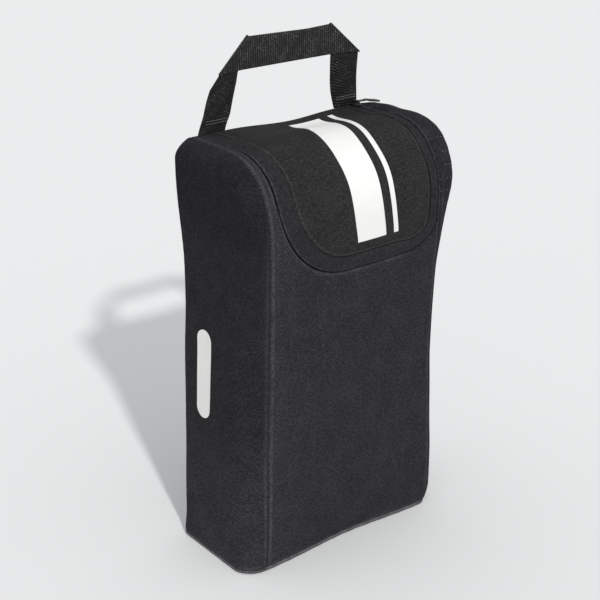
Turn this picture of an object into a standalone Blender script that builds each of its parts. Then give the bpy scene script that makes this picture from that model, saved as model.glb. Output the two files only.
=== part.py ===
"""Shoe bag: an upright fabric bag with bulging side gussets, a wrap-over front panel with a
U-shaped zipped lid, and one folded webbing handle sewn into the back top seam.

Frame: metres, +Z up. X runs across the bag, the front faces -Y, and the origin is the centre
of the footprint on the floor. The wall that runs up the front and over the top is described
in flat coordinates (x, s), where s is the length along its side profile from the floor.
"""

import math

import bmesh
import bpy
import numpy as np
from mathutils import Matrix

# ---- driving dimensions (metres) ------------------------------------------------------
BAG_HEIGHT = 0.343        # floor to the top wall
SEAM_X = 0.085            # centre plane to the side seams
Y_FRONT_LOW = -0.0428     # front wall at the floor
Y_FRONT_HIGH = -0.0518    # front wall where the top curve starts
Y_BACK = 0.0542           # back wall
Z_CURVE = 0.290           # where the front turns into the top curve
Y_CURVE = 0.0032          # where the top curve has become level
CURVE_POWER = 2.15        # 2 would be an ellipse
BULGE_WAIST = 0.0125      # how far a gusset stands out of its seam, at its waist and at its ends
BULGE_END = 0.018
EDGE_FRONT_LOW = 0.028    # how far in from the front seam the gusset keeps turning
EDGE_FRONT_TOP = 0.012
EDGE_BACK = 0.013
CROWN = 0.002             # how far the wrap stands out between its seams
WALL = 0.0020             # coated fabric with its foam backing
GAP = 0.0003              # between pieces that touch in the real bag

LID_CUT_X = 0.0780        # half width of the U cut in the wrap
LID_CUT_S = 0.2490        # the lowest point of the U cut
LID_CUT_R = 0.0250        # the radius of its right corner
LID_CUT_LX = 0.0600       # the reach of its gentler left corner, across and along
LID_CUT_LS = 0.0680
LID_EDGE_X = 0.0766       # half width of the lid
LID_BORDER = 0.0115       # width of the band round the lid
Y_HINGE = 0.0412          # line on which the lid folds
Z_HINGE = 0.3435
ROW_GAP_X = 0.0773        # the middle of the zip, between its two rows of teeth

STRAP_WIDTH = 0.025
STRAP_THICK = 0.0016
STRAP_Y = 0.0529
STRAP_FOLD_Z = 0.350      # the handle swings about this line

# ---- side profile ----------------------------------------------------------------------


def front_y(z):
    return Y_FRONT_LOW + (Y_FRONT_HIGH - Y_FRONT_LOW) * min(max(z / Z_CURVE, 0.0), 1.0)


def curve_point(angle, inset=0.0):
    a, b = Y_CURVE - Y_FRONT_HIGH - inset, BAG_HEIGHT - Z_CURVE - inset
    c, s = math.cos(angle) ** (2 / CURVE_POWER), math.sin(angle) ** (2 / CURVE_POWER)
    return Y_CURVE - a * c, Z_CURVE + b * s


def top_z(y, inset=0.0):
    """Height of the wrap's line over a point y, for y behind the front wall."""
    if y >= Y_CURVE:
        return BAG_HEIGHT - inset
    a, b = Y_CURVE - Y_FRONT_HIGH - inset, BAG_HEIGHT - Z_CURVE - inset
    t = min((Y_CURVE - y) / a, 1.0)
    return Z_CURVE + b * (1 - t**CURVE_POWER) ** (1 / CURVE_POWER)


def profile_line(y_end):
    points = [(front_y(Z_CURVE * i / 40), Z_CURVE * i / 40) for i in range(40)]
    points += [curve_point(math.pi / 2 * i / 80) for i in range(81)]
    points += [(Y_CURVE + (y_end - Y_CURVE) * i / 20, BAG_HEIGHT) for i in range(1, 21)]
    return np.array(points)


LINE = profile_line(Y_BACK)
LINE_S = np.concatenate([[0], np.cumsum(np.linalg.norm(np.diff(LINE, axis=0), axis=1))])
STEP = np.gradient(LINE, axis=0)
STEP /= np.linalg.norm(STEP, axis=1)[:, None]
OUT = np.column_stack([-STEP[:, 1], STEP[:, 0]])  # outward: -Y on the front, +Z on top


def s_at_top(y):
    """The s of a point on the level part of the top."""
    return LINE_S[-1] - (Y_BACK - y)


def smooth(t):
    t = min(max(t, 0.0), 1.0)
    return t * t * (3 - 2 * t)


def crown(x, s):
    across = max(0.0, 1 - (x / SEAM_X) ** 2)
    return CROWN * across * smooth(s / 0.06) * smooth((s_at_top(0.0462) - s) / 0.05)


def wrap_point(x, s, h):
    """The point of the wrap at flat coordinates (x, s), h above its outer face."""
    y, z = np.interp(s, LINE_S, LINE[:, 0]), np.interp(s, LINE_S, LINE[:, 1])
    ny, nz = np.interp(s, LINE_S, OUT[:, 0]), np.interp(s, LINE_S, OUT[:, 1])
    n = math.hypot(ny, nz)
    h = h + crown(x, s)
    return (x, y + ny / n * h, z + nz / n * h)


# ---- making objects --------------------------------------------------------------------

for old in list(bpy.data.objects):
    bpy.data.objects.remove(old, do_unlink=True)


def material(name, colour, roughness, metallic=0.0):
    found = bpy.data.materials.get(name)
    if found:
        return found
    m = bpy.data.materials.new(name)
    m.use_nodes = True
    shader = m.node_tree.nodes["Principled BSDF"]
    shader.inputs["Base Color"].default_value = (*colour, 1)
    shader.inputs["Roughness"].default_value = roughness
    shader.inputs["Metallic"].default_value = metallic
    return m


WOVEN = ("woven polyester", (0.030, 0.030, 0.032), 0.85)
LINING = ("lining", (0.020, 0.020, 0.021), 0.75)
TAPE = ("zip tape", (0.016, 0.016, 0.017), 0.9)
NYLON = ("nylon", (0.012, 0.012, 0.012), 0.4)
WEBBING = ("webbing", (0.018, 0.018, 0.019), 0.8)
METAL = ("painted zinc", (0.020, 0.020, 0.021), 0.35, 0.6)
RUBBER = ("rubber", (0.015, 0.015, 0.015), 0.6)
PRINT = ("white transfer film", (0.86, 0.85, 0.83), 0.55)
LABEL = ("label", (0.80, 0.80, 0.78), 0.7)


def make_object(name, verts, faces, finish, origin=(0, 0, 0)):
    mesh = bpy.data.meshes.new(name)
    shifted = [tuple(np.subtract(v, origin)) for v in verts]
    mesh.from_pydata(shifted, [], faces)
    mesh.validate()
    bm = bmesh.new()
    bm.from_mesh(mesh)
    bmesh.ops.recalc_face_normals(bm, faces=bm.faces)
    if bm.calc_volume(signed=True) < 0:
        bmesh.ops.reverse_faces(bm, faces=bm.faces)
    bm.to_mesh(mesh)
    bm.free()
    mesh.shade_smooth()
    mesh.set_sharp_from_angle(angle=math.radians(35))
    obj = bpy.data.objects.new(name, mesh)
    obj.location = origin
    obj.data.materials.append(material(*finish))
    bpy.context.scene.collection.objects.link(obj)
    return obj


def thick_sheet(name, outer, inner, finish, origin=(0, 0, 0)):
    """A closed sheet from two grids of points, [row][column], with a rim round them."""
    rows, cols = len(outer), len(outer[0])
    verts = [p for row in outer for p in row] + [p for row in inner for p in row]
    half = rows * cols
    faces = []
    for r in range(rows - 1):
        for c in range(cols - 1):
            a, b = r * cols + c, r * cols + c + 1
            d, e = (r + 1) * cols + c + 1, (r + 1) * cols + c
            faces.append((a, b, d, e))
            faces.append((half + e, half + d, half + b, half + a))
    edge = [(0, c) for c in range(cols)] + [(r, cols - 1) for r in range(1, rows)]
    edge += [(rows - 1, c) for c in range(cols - 2, -1, -1)] + [(r, 0) for r in range(rows - 2, 0, -1)]
    ids = [r * cols + c for r, c in edge]
    for i, a in enumerate(ids):
        b = ids[(i + 1) % len(ids)]
        faces.append((b, a, half + a, half + b))
    return make_object(name, verts, faces, finish, origin)


def wrap_sheet(name, flat, top, bottom, finish, origin=(0, 0, 0)):
    """A sheet on the wrap from a grid of flat points (x, s), from h = bottom to h = top."""
    outer = [[wrap_point(x, s, top) for x, s in row] for row in flat]
    inner = [[wrap_point(x, s, bottom) for x, s in row] for row in flat]
    return thick_sheet(name, outer, inner, finish, origin)


def box(name, low, high, finish, bevel=0.0, origin=None, segments=2):
    centre = origin or tuple((a + b) / 2 for a, b in zip(low, high))
    bm = bmesh.new()
    bmesh.ops.create_cube(bm, size=1)
    for v in bm.verts:
        v.co = [lo + (c + 0.5) * (hi - lo) - o for lo, hi, c, o in zip(low, high, v.co, centre)]
    if bevel:
        bmesh.ops.bevel(bm, geom=bm.edges[:], offset=bevel, segments=segments, affect="EDGES", profile=0.5)
    mesh = bpy.data.meshes.new(name)
    bm.to_mesh(mesh)
    bm.free()
    obj = bpy.data.objects.new(name, mesh)
    obj.location = centre
    obj.data.materials.append(material(*finish))
    bpy.context.scene.collection.objects.link(obj)
    return obj


def plate(name, outline, low, high, axis, finish, origin=(0, 0, 0), hole=None):
    """A flat plate: an outline of (a, b) points, extruded along an axis from low to high.
    A hole is a second outline with the same number of points."""
    def place(p, h):
        return {"x": (h, p[0], p[1]), "y": (p[0], h, p[1]), "z": (p[0], p[1], h)}[axis]
    n = len(outline)
    verts = [place(p, low) for p in outline] + [place(p, high) for p in outline]
    faces = [(i, (i + 1) % n, n + (i + 1) % n, n + i) for i in range(n)]
    if hole is None:
        faces += [tuple(range(n))[::-1], tuple(range(n, 2 * n))]
    else:
        verts += [place(p, low) for p in hole] + [place(p, high) for p in hole]
        for i in range(n):
            j = (i + 1) % n
            faces.append((2 * n + i, 3 * n + i, 3 * n + j, 2 * n + j))
            faces.append((i, 2 * n + i, 2 * n + j, j))
            faces.append((n + i, n + j, 3 * n + j, 3 * n + i))
    return make_object(name, verts, faces, finish, origin)


def apply_boolean(obj, other, operation):
    """Joins or cuts with another object, which is then removed."""
    m = obj.modifiers.new(operation.lower(), "BOOLEAN")
    m.operation = operation
    m.solver = "EXACT"
    m.object = other
    bpy.context.view_layer.update()
    graph = bpy.context.evaluated_depsgraph_get()
    mesh = bpy.data.meshes.new_from_object(obj.evaluated_get(graph))
    obj.modifiers.clear()
    old = obj.data
    obj.data = mesh
    bpy.data.meshes.remove(old)
    bpy.data.objects.remove(other, do_unlink=True)


# ---- the U of the lid ------------------------------------------------------------------


def u_line(half, s_end, side=20, corner=12, bottom=12):
    """Points (x, s) of a U that runs parallel to the cut, from the right end to the left."""
    step = LID_CUT_X - half
    s0 = LID_CUT_S + step
    r, lx, ls = LID_CUT_R - step, LID_CUT_LX - step, LID_CUT_LS - step
    points = []
    for i in range(side):
        points.append((half, s_end + (s0 + r - s_end) * i / side))
    for i in range(corner):
        a = math.pi / 2 * i / corner
        points.append((half - r + r * math.cos(a), s0 + r - r * math.sin(a)))
    for i in range(bottom + 1):
        points.append((half - r + (lx - half - (half - r)) * i / bottom, s0))
    for i in range(1, corner + 1):
        a = math.pi / 2 * (1 - i / corner)
        points.append((-half + lx - lx * math.cos(a), s0 + ls - ls * math.sin(a)))
    for i in range(1, side + 1):
        points.append((-half, s0 + ls + (s_end - s0 - ls) * i / side))
    return points


def u_ring(name, outer_half, inner_half, s_end, h_top, h_low, finish, across=1, origin=(0, 0, 0), **counts):
    a, b = u_line(outer_half, s_end, **counts), u_line(inner_half, s_end, **counts)
    flat = []
    for k in range(across + 1):
        t = k / across
        flat.append([(p[0] * (1 - t) + q[0] * t, p[1] * (1 - t) + q[1] * t) for p, q in zip(a, b)])
    return wrap_sheet(name, flat, h_top, h_low, finish, origin)


def u_bottom(half, x):
    """The s of the lower edge of such a U over x."""
    step = LID_CUT_X - half
    s0 = LID_CUT_S + step
    reach, high = (LID_CUT_R - step,) * 2 if x > 0 else (LID_CUT_LX - step, LID_CUT_LS - step)
    d = max(0.0, abs(x) - (half - reach)) / reach
    return s0 + high - high * math.sqrt(max(0.0, 1 - d * d))


def u_filled(half, s_end, cols=20, rows=16):
    """A grid of (x, s) over the inside of the U, with its columns closer near the sides."""
    flat = []
    for r in range(rows + 1):
        row = []
        for c in range(cols + 1):
            x = -half * math.cos(math.pi * c / cols)
            low = u_bottom(half, x)
            row.append((x, low + (s_end - low) * r / rows))
        flat.append(row)
    return flat


S_TOP_END = s_at_top(Y_BACK - WALL - GAP)
S_LID_END = s_at_top(Y_HINGE - 0.0004)
HINGE = (0, Y_HINGE, Z_HINGE)

# ---- the front and top wrap ------------------------------------------------------------

EDGE_X = SEAM_X - GAP / 2
cut = u_line(LID_CUT_X, S_TOP_END, side=20, corner=12, bottom=12)
S_RIGHT = LID_CUT_S + LID_CUT_R   # where the U's straight sides end
S_LEFT = LID_CUT_S + LID_CUT_LS
S_BEND = 0.286                    # below this the wrap is flat along s
LOW_S = 0.0023
rim = []
for i in range(20):
    rim.append((EDGE_X, S_TOP_END + (S_RIGHT - S_TOP_END) * i / 20))
for i in range(12):
    rim.append((EDGE_X, S_RIGHT + (LOW_S - S_RIGHT) * i / 12))
for i in range(13):
    rim.append((EDGE_X - 2 * EDGE_X * i / 12, LOW_S))
for i in range(1, 13):
    # level with the cut above the bend, and spread down the seam below it
    at = cut[20 + 12 + 12 + i][1]
    below = (S_BEND - at) / (S_BEND - LID_CUT_S)
    rim.append((-EDGE_X, at if below < 0 else S_BEND + (LOW_S - S_BEND) * below))
for i in range(1, 21):
    rim.append((-EDGE_X, S_LEFT + (S_TOP_END - S_LEFT) * i / 20))
flat = []
for k in range(6):
    t = k / 5
    flat.append([(p[0] * (1 - t) + q[0] * t, p[1] * (1 - t) + q[1] * t) for p, q in zip(rim, cut)])
wrap_sheet("front_panel", flat, 0.0, -WALL, WOVEN)

# ---- gussets ---------------------------------------------------------------------------


def distance_to_line(y, z, line):
    a, b = line[:-1], line[1:]
    ab, ap = b - a, np.array([y, z]) - a
    t = np.clip((ap * ab).sum(1) / np.maximum((ab * ab).sum(1), 1e-18), 0, 1)
    return float(np.sqrt(((ap - ab * t[:, None]) ** 2).sum(1).min()))


def round_edge(d, reach):
    t = 1 - min(max(d / reach, 0.0), 1.0)
    return math.sqrt(max(0.0, 1 - t * t))


def bulge(y, z, inset=0.0):
    line = LINE.copy()
    if inset:
        line = LINE - OUT * inset
    front = distance_to_line(y, z, line)
    back = max(0.0, Y_BACK - inset - y)
    swell = max(smooth((z - 0.235) / 0.080), 1 - smooth((z - 0.010) / 0.190))
    out = BULGE_WAIST + (BULGE_END - BULGE_WAIST) * swell - inset
    reach = EDGE_FRONT_LOW + (EDGE_FRONT_TOP - EDGE_FRONT_LOW) * max(smooth((z - 0.225) / 0.080), 0.7 * smooth((0.050 - z) / 0.050))
    return out * round_edge(front, reach - inset) * round_edge(back, EDGE_BACK - inset)


def gusset_grid(side, inset, low, cols=16, rows=22):
    x0 = SEAM_X + GAP / 2
    grid = []
    for r in range(rows + 1):
        row = []
        for c in range(cols + 1):
            w = (1 - math.cos(math.pi * c / cols)) / 2
            y_top = Y_FRONT_HIGH + inset + (Y_BACK - Y_FRONT_HIGH - 2 * inset) * w
            top = top_z(y_top, inset)
            z = low + (top - low) * (1 - (1 - r / rows) ** 1.25)
            front = front_y(z) + inset
            y = front + (Y_BACK - inset - front) * w
            if c == 0 and r == rows:
                z = Z_CURVE
            row.append((side * (x0 + bulge(y, z, inset)), y, z))
        grid.append(row)
    return grid


for side, name in ((-1, "side_panel_left"), (1, "side_panel_right")):
    thick_sheet(name, gusset_grid(side, 0.0, 0.0023), gusset_grid(side, WALL, 0.0023), WOVEN)

# ---- back and bottom -------------------------------------------------------------------

box("back_panel", (-EDGE_X, Y_BACK - WALL, 0.0023), (EDGE_X, Y_BACK, BAG_HEIGHT), WOVEN)

right_edge = []
for c in range(17):
    w = (1 - math.cos(math.pi * c / 16)) / 2
    y = Y_FRONT_LOW + (Y_BACK - Y_FRONT_LOW) * w
    right_edge.append((SEAM_X + GAP / 2 + bulge(y, 0.0023), y))
footprint = right_edge + [(-x, y) for x, y in reversed(right_edge)]
plate("bottom_panel", footprint, 0.0, WALL, "z", WOVEN)


def shrunk(outline, inset):
    """The outline moved inward, along the mean of its edges' normals."""
    points = np.array(outline)
    before, after = np.roll(points, 1, axis=0), np.roll(points, -1, axis=0)
    t = after - before
    t /= np.linalg.norm(t, axis=1)[:, None]
    return [tuple(p) for p in points + np.column_stack([-t[:, 1], t[:, 0]]) * inset]


ring_in = []
for c in range(17):
    w = (1 - math.cos(math.pi * c / 16)) / 2
    y = Y_FRONT_LOW + 0.0045 + (Y_BACK - Y_FRONT_LOW - 0.009) * w
    ring_in.append((0.0800, y))
ring_out = [(x + 0.0, y) for x, y in ring_in]
plate(
    "bottom_binding",
    ring_out + [(-x, y) for x, y in reversed(ring_out)],
    WALL + GAP, 0.0035, "z", TAPE,
    hole=[(x - 0.005, y * 0.88 + 0.0005) for x, y in ring_in] + [(-x + 0.005, y * 0.88 + 0.0005) for x, y in reversed(ring_in)],
)

# ---- lid: panel, border, lining, zip side, and the fold behind it -----------------------

LID_IN_X = LID_EDGE_X - LID_BORDER
lid_panel = wrap_sheet("lid_panel", u_filled(LID_IN_X - GAP / 2, S_LID_END), 0.0, -WALL, WOVEN, HINGE)
u_ring("lid_border", LID_EDGE_X, LID_IN_X + GAP / 2, S_LID_END, 0.0004, -WALL, WOVEN, across=2, origin=HINGE)
wrap_sheet("lid_lining", u_filled(0.0635, S_LID_END, 16, 12), -0.0028, -0.0034, LINING, HINGE)
u_ring("zip_tape_lid", 0.0745, 0.0640, S_LID_END, -0.0028, -0.0034, TAPE, origin=HINGE, side=20, corner=12, bottom=8)
u_ring("zip_teeth_lid", 0.0765, 0.0749, S_LID_END, -0.0028, -0.0042, NYLON, origin=HINGE, side=20, corner=12, bottom=8)
u_ring("zip_teeth_body", 0.0797, 0.0781, S_LID_END, -0.0028, -0.0042, NYLON, side=20, corner=12, bottom=8)
u_ring("zip_tape_body", 0.0842, 0.0801, s_at_top(0.0512), -0.0028, -0.0034, TAPE, side=20, corner=12, bottom=8)
box("lid_hinge_strip", (-LID_EDGE_X, Y_HINGE + 0.0004, BAG_HEIGHT - WALL), (LID_EDGE_X, Y_BACK - WALL - GAP, BAG_HEIGHT), WOVEN)
box("zip_stop", (-0.0797, Y_HINGE + 0.0003, 0.3386), (-0.0749, Y_HINGE + 0.0033, 0.3402), METAL, bevel=0.0003, segments=1)

# ---- printed bands and the plain mark on the left gusset --------------------------------


def bow(s):
    """The bands drift left where the lid turns over the top, and back again towards the seam."""
    return -0.0068 * smooth((s - 0.270) / 0.034) + 0.0130 * smooth((s - 0.338) / 0.078)


def band(name, x_low, x_high, s_low, s_high):
    rows = 28
    flat = []
    for r in range(rows + 1):
        s = s_low + (s_high - s_low) * r / rows
        flat.append([(x_low + (x_high - x_low) * c / 3 + bow(s), s) for c in range(4)])
    return wrap_sheet(name, flat, 0.00055, 0.0003, PRINT, HINGE)


S_BAND_LOW, S_BAND_HIGH = 0.2705, s_at_top(0.0397)
band("lid_band_wide", -0.0045, 0.0255, S_BAND_LOW, S_BAND_HIGH)
band("lid_band_narrow", 0.0345, 0.0395, S_BAND_LOW, S_BAND_HIGH)


def side_patch(name, y_low, y_high, z_low, z_high, finish):
    """A thin film on the left gusset with rounded ends."""
    rows, cols = 20, 6
    zc, yc, half = (z_low + z_high) / 2, (y_low + y_high) / 2, (z_high - z_low) / 2
    width = (y_high - y_low) / 2
    outer, inner = [], []
    for r in range(rows + 1):
        a = -math.pi / 2 + math.pi * (0.04 + 0.92 * r / rows)
        z = zc + half * math.sin(a)
        past = max(0.0, abs(z - zc) - (half - width))
        wide = math.sqrt(max(1e-9, width * width - past * past))
        line_out, line_in = [], []
        for c in range(cols + 1):
            y = yc + wide * (2 * c / cols - 1)
            e = 0.001
            gy = (bulge(y + e, z) - bulge(y - e, z)) / (2 * e)
            gz = (bulge(y, z + e) - bulge(y, z - e)) / (2 * e)
            n = np.array([1.0, -gy, -gz])
            n /= np.linalg.norm(n)
            for lift, row in ((0.0006, line_out), (0.00035, line_in)):
                p = np.array([SEAM_X + GAP / 2 + bulge(y, z), y, z]) + n * lift
                row.append((-p[0], p[1], p[2]))
        outer.append(line_out)
        inner.append(line_in)
    return thick_sheet(name, outer, inner, finish)


side_patch("side_mark", 0.0122, 0.0302, 0.120, 0.196, PRINT)

# ---- seam bindings and the label inside --------------------------------------------------

for side, name in ((-1, "left"), (1, "right")):
    flat = []
    for r in range(29):
        s = 0.006 + (s_at_top(0.0467) - 0.006) * r / 28
        flat.append([(side * 0.0846, s), (side * 0.0814, s)])
    wrap_sheet("seam_binding_" + name, flat, -0.0046, -0.0054, TAPE)
    xs = sorted((side * 0.0802, side * 0.0846))
    box("back_binding_" + name, (xs[0], 0.0506, 0.006), (xs[1], 0.0516, 0.330), TAPE)
box("care_label", (-0.0798, 0.0212, 0.2000), (-0.0794, 0.0492, 0.2400), LABEL)

# ---- handle ------------------------------------------------------------------------------

# The webbing goes up from each base, turns by 45 degree folds, and runs across between them.
# The left leg leans in and the right leg stands upright.
LEFT_BASE, RIGHT_BASE = -0.0764, 0.0577      # outer and inner lower corner of the two legs
GRIP_LOW, GRIP_HIGH = 0.3880, 0.4130
handle_outline = [
    (LEFT_BASE + 0.0025, STRAP_FOLD_Z), (-0.0535, 0.3870), (-0.0270, GRIP_HIGH),
    (0.0543, GRIP_HIGH), (RIGHT_BASE + STRAP_WIDTH + 0.0018, 0.3872), (RIGHT_BASE + STRAP_WIDTH, STRAP_FOLD_Z),
    (RIGHT_BASE, STRAP_FOLD_Z), (0.0547, GRIP_LOW), (-0.0373, GRIP_LOW), (LEFT_BASE + STRAP_WIDTH + 0.0015, STRAP_FOLD_Z),
]
plate("handle_webbing", handle_outline, STRAP_Y - STRAP_THICK / 2, STRAP_Y + STRAP_THICK / 2, "y", WEBBING, (0, STRAP_Y, STRAP_FOLD_Z))
for name, x, lean in (("left", LEFT_BASE, 0.002), ("right", RIGHT_BASE, 0.0)):
    plate(
        "handle_base_" + name,
        [(x, 0.3434), (x + STRAP_WIDTH, 0.3434), (x + STRAP_WIDTH + lean, 0.3490), (x + lean, 0.3490)],
        STRAP_Y - STRAP_THICK / 2, STRAP_Y + STRAP_THICK / 2, "y", WEBBING,
    )

# ---- zip slider and its two-piece pull ----------------------------------------------------

SLIDER_Y = 0.0464         # the middle of the slider, parked behind the fold of the lid
PIN_Z = 0.3470            # the pull turns on this line, along Y
LINK_LENGTH = 0.009
SLIDER = (ROW_GAP_X, SLIDER_Y, BAG_HEIGHT)

slider = box(
    "zip_slider", (ROW_GAP_X - 0.0035, SLIDER_Y - 0.0042, 0.3441), (ROW_GAP_X + 0.0035, SLIDER_Y + 0.0042, 0.3452),
    METAL, bevel=0.0004, origin=SLIDER, segments=2,
)
apply_boolean(slider, box("post", (ROW_GAP_X - 0.0004, SLIDER_Y + 0.0006, 0.3377), (ROW_GAP_X + 0.0004, SLIDER_Y + 0.0032, 0.3446), METAL), "UNION")
apply_boolean(slider, box("under", (ROW_GAP_X - 0.0035, SLIDER_Y - 0.0042, 0.3371), (ROW_GAP_X + 0.0035, SLIDER_Y + 0.0042, 0.3383), METAL, bevel=0.0003, segments=1), "UNION")
for end in (-1, 1):
    y = SLIDER_Y + end * 0.0027
    apply_boolean(slider, box("cheek", (ROW_GAP_X - 0.0013, y - 0.0006, 0.3448), (ROW_GAP_X + 0.0013, y + 0.0006, 0.3482), METAL, bevel=0.0003, segments=1), "UNION")


def circle(cx, cy, r, count=16, turn=0.0):
    return [(cx + r * math.cos(2 * math.pi * i / count + turn), cy + r * math.sin(2 * math.pi * i / count + turn)) for i in range(count)]


pin = plate("pin", circle(ROW_GAP_X, PIN_Z, 0.0005, 12), SLIDER_Y - 0.0026, SLIDER_Y + 0.0026, "y", METAL, (ROW_GAP_X, SLIDER_Y, PIN_Z))
apply_boolean(slider, pin, "UNION")

LINK_AXIS = (ROW_GAP_X, SLIDER_Y, PIN_Z)
link = plate("zip_pull_link", circle(ROW_GAP_X, PIN_Z, 0.0014, 16), SLIDER_Y - 0.0015, SLIDER_Y + 0.0015, "y", METAL, LINK_AXIS, hole=circle(ROW_GAP_X, PIN_Z, 0.00085, 16))
apply_boolean(link, box("shank", (ROW_GAP_X + 0.0011, SLIDER_Y - 0.0015, PIN_Z - 0.0005), (ROW_GAP_X + LINK_LENGTH - 0.0012, SLIDER_Y + 0.0015, PIN_Z + 0.0005), METAL), "UNION")
for end in (-1, 1):
    y = SLIDER_Y + end * 0.0011
    apply_boolean(link, box("fork", (ROW_GAP_X + LINK_LENGTH - 0.0016, y - 0.0004, PIN_Z - 0.0005), (ROW_GAP_X + LINK_LENGTH + 0.0006, y + 0.0004, PIN_Z + 0.0005), METAL), "UNION")
TAB_AXIS = (ROW_GAP_X + LINK_LENGTH, SLIDER_Y, PIN_Z)
apply_boolean(link, plate("cross_pin", circle(TAB_AXIS[0], PIN_Z, 0.00035, 10), SLIDER_Y - 0.0012, SLIDER_Y + 0.0012, "y", METAL, TAB_AXIS), "UNION")


def tab_outline():
    """The pull tab from above: a narrow neck that widens into a long rounded tongue."""
    x0 = TAB_AXIS[0]
    points = [(x0 + 0.0008, SLIDER_Y - 0.0004), (x0 + 0.0022, SLIDER_Y - 0.0004), (x0 + 0.0030, SLIDER_Y - 0.0030)]
    for i in range(9):
        a = -math.pi / 2 + math.pi * i / 8
        points.append((x0 + 0.0125 + 0.0034 * math.cos(a), SLIDER_Y + 0.0036 * math.sin(a)))
    points += [(x0 + 0.0030, SLIDER_Y + 0.0030), (x0 + 0.0022, SLIDER_Y + 0.0004), (x0 + 0.0008, SLIDER_Y + 0.0004)]
    return points


tab = plate("zip_pull_tab", tab_outline(), PIN_Z - 0.0006, PIN_Z + 0.0006, "z", RUBBER, TAB_AXIS)
TAB_DROOP = math.radians(11)   # the tab hangs a little below the link
apply_boolean(tab, plate("eye", circle(TAB_AXIS[0], PIN_Z, 0.0011, 16), SLIDER_Y - 0.0004, SLIDER_Y + 0.0004, "y", RUBBER, TAB_AXIS, hole=circle(TAB_AXIS[0], PIN_Z, 0.00065, 16)), "UNION")
tab.data.transform(Matrix.Rotation(TAB_DROOP, 4, "Y"))

for obj in bpy.data.objects:
    obj.data.shade_smooth()
    obj.data.set_sharp_from_angle(angle=math.radians(35))
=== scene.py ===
"""Looks of the shoe bag: woven shell with sewn seams, zipped lid with its band, coil zip, folded
webbing handle, prints and linings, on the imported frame. Metres, +Z up, front faces -Y."""

import math

import bmesh
import bpy
import numpy as np
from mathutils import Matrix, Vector
from mathutils.kdtree import KDTree


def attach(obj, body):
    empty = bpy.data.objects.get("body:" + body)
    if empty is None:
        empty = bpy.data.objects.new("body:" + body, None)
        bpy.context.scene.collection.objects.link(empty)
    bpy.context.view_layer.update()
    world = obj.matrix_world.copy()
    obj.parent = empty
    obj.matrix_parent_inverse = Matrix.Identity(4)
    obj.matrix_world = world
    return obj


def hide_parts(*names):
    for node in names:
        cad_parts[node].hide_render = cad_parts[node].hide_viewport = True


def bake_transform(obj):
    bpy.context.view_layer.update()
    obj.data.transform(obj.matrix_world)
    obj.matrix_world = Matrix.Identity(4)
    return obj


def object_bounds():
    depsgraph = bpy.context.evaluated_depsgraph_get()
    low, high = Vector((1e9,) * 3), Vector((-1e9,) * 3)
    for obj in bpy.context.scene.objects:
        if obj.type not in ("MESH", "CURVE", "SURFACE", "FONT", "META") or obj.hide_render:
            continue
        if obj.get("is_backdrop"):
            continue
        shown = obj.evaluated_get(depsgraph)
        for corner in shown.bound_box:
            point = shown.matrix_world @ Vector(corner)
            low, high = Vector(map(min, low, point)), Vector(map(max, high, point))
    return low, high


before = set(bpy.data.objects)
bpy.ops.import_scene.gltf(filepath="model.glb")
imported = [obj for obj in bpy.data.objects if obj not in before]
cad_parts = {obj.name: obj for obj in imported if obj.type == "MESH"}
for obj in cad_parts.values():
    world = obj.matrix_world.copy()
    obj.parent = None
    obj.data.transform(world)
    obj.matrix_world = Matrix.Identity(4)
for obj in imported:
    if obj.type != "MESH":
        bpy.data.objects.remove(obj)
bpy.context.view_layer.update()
MM = 0.001

# ---- the shape of the bag, as in the CAD ---------------------------------------------------

BAG_HEIGHT = 0.343
SEAM_X = 0.085
Y_FRONT_LOW, Y_FRONT_HIGH, Y_BACK = -0.0428, -0.0518, 0.0542
Z_CURVE, Y_CURVE, CURVE_POWER = 0.290, 0.0032, 2.15
WALL, GAP = 0.0020, 0.0003
Y_HINGE, Z_HINGE = 0.0412, 0.3435
STRAP_Y = 0.0529
EDGE_X = SEAM_X - GAP / 2
CUT_S = 0.2488            # lowest point of the zip line
ZIP_X = 0.0773


def smooth(t):
    t = np.clip(t, 0.0, 1.0)
    return t * t * (3 - 2 * t)


def table(pairs, width=0.012, step=0.001):
    """A smooth function through pairs (position, value): linear, then blurred."""
    p = np.array(pairs, float)
    grid = np.arange(p[0, 0] - 5 * width, p[-1, 0] + 5 * width, step)
    value = np.interp(grid, p[:, 0], p[:, 1])
    k = np.arange(-int(3 * width / step), int(3 * width / step) + 1) * step
    w = np.exp(-0.5 * (k / width) ** 2)
    value = np.convolve(np.pad(value, len(k) // 2, mode="edge"), w / w.sum(), mode="valid")
    return lambda t: np.interp(t, grid, value)


def lattice(p, seed):
    p = p.astype(np.int64)
    n = p[..., 0] * 374761393 + p[..., 1] * 668265263 + p[..., 2] * 2147483647 + seed * 974711
    n = (n ^ (n >> 13)) * 1274126177
    n = n ^ (n >> 16)
    return (n & 0xFFFFFF) / float(0xFFFFFF) * 2 - 1


def vnoise(p, seed=0):
    """Smooth value noise in -1..1 over points (..., 3)."""
    p = np.asarray(p, float)
    base = np.floor(p)
    f = p - base
    f = f * f * f * (f * (f * 6 - 15) + 10)
    total = 0
    for dx in (0, 1):
        for dy in (0, 1):
            for dz in (0, 1):
                w = (f[..., 0] if dx else 1 - f[..., 0]) * (f[..., 1] if dy else 1 - f[..., 1]) * (f[..., 2] if dz else 1 - f[..., 2])
                total = total + w * lattice(base + np.array([dx, dy, dz]), seed)
    return total


def curve_point(angle):
    a, b = Y_CURVE - Y_FRONT_HIGH, BAG_HEIGHT - Z_CURVE
    return np.column_stack([
        Y_CURVE - a * np.abs(np.cos(angle)) ** (2 / CURVE_POWER),
        Z_CURVE + b * np.abs(np.sin(angle)) ** (2 / CURVE_POWER),
    ])


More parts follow.
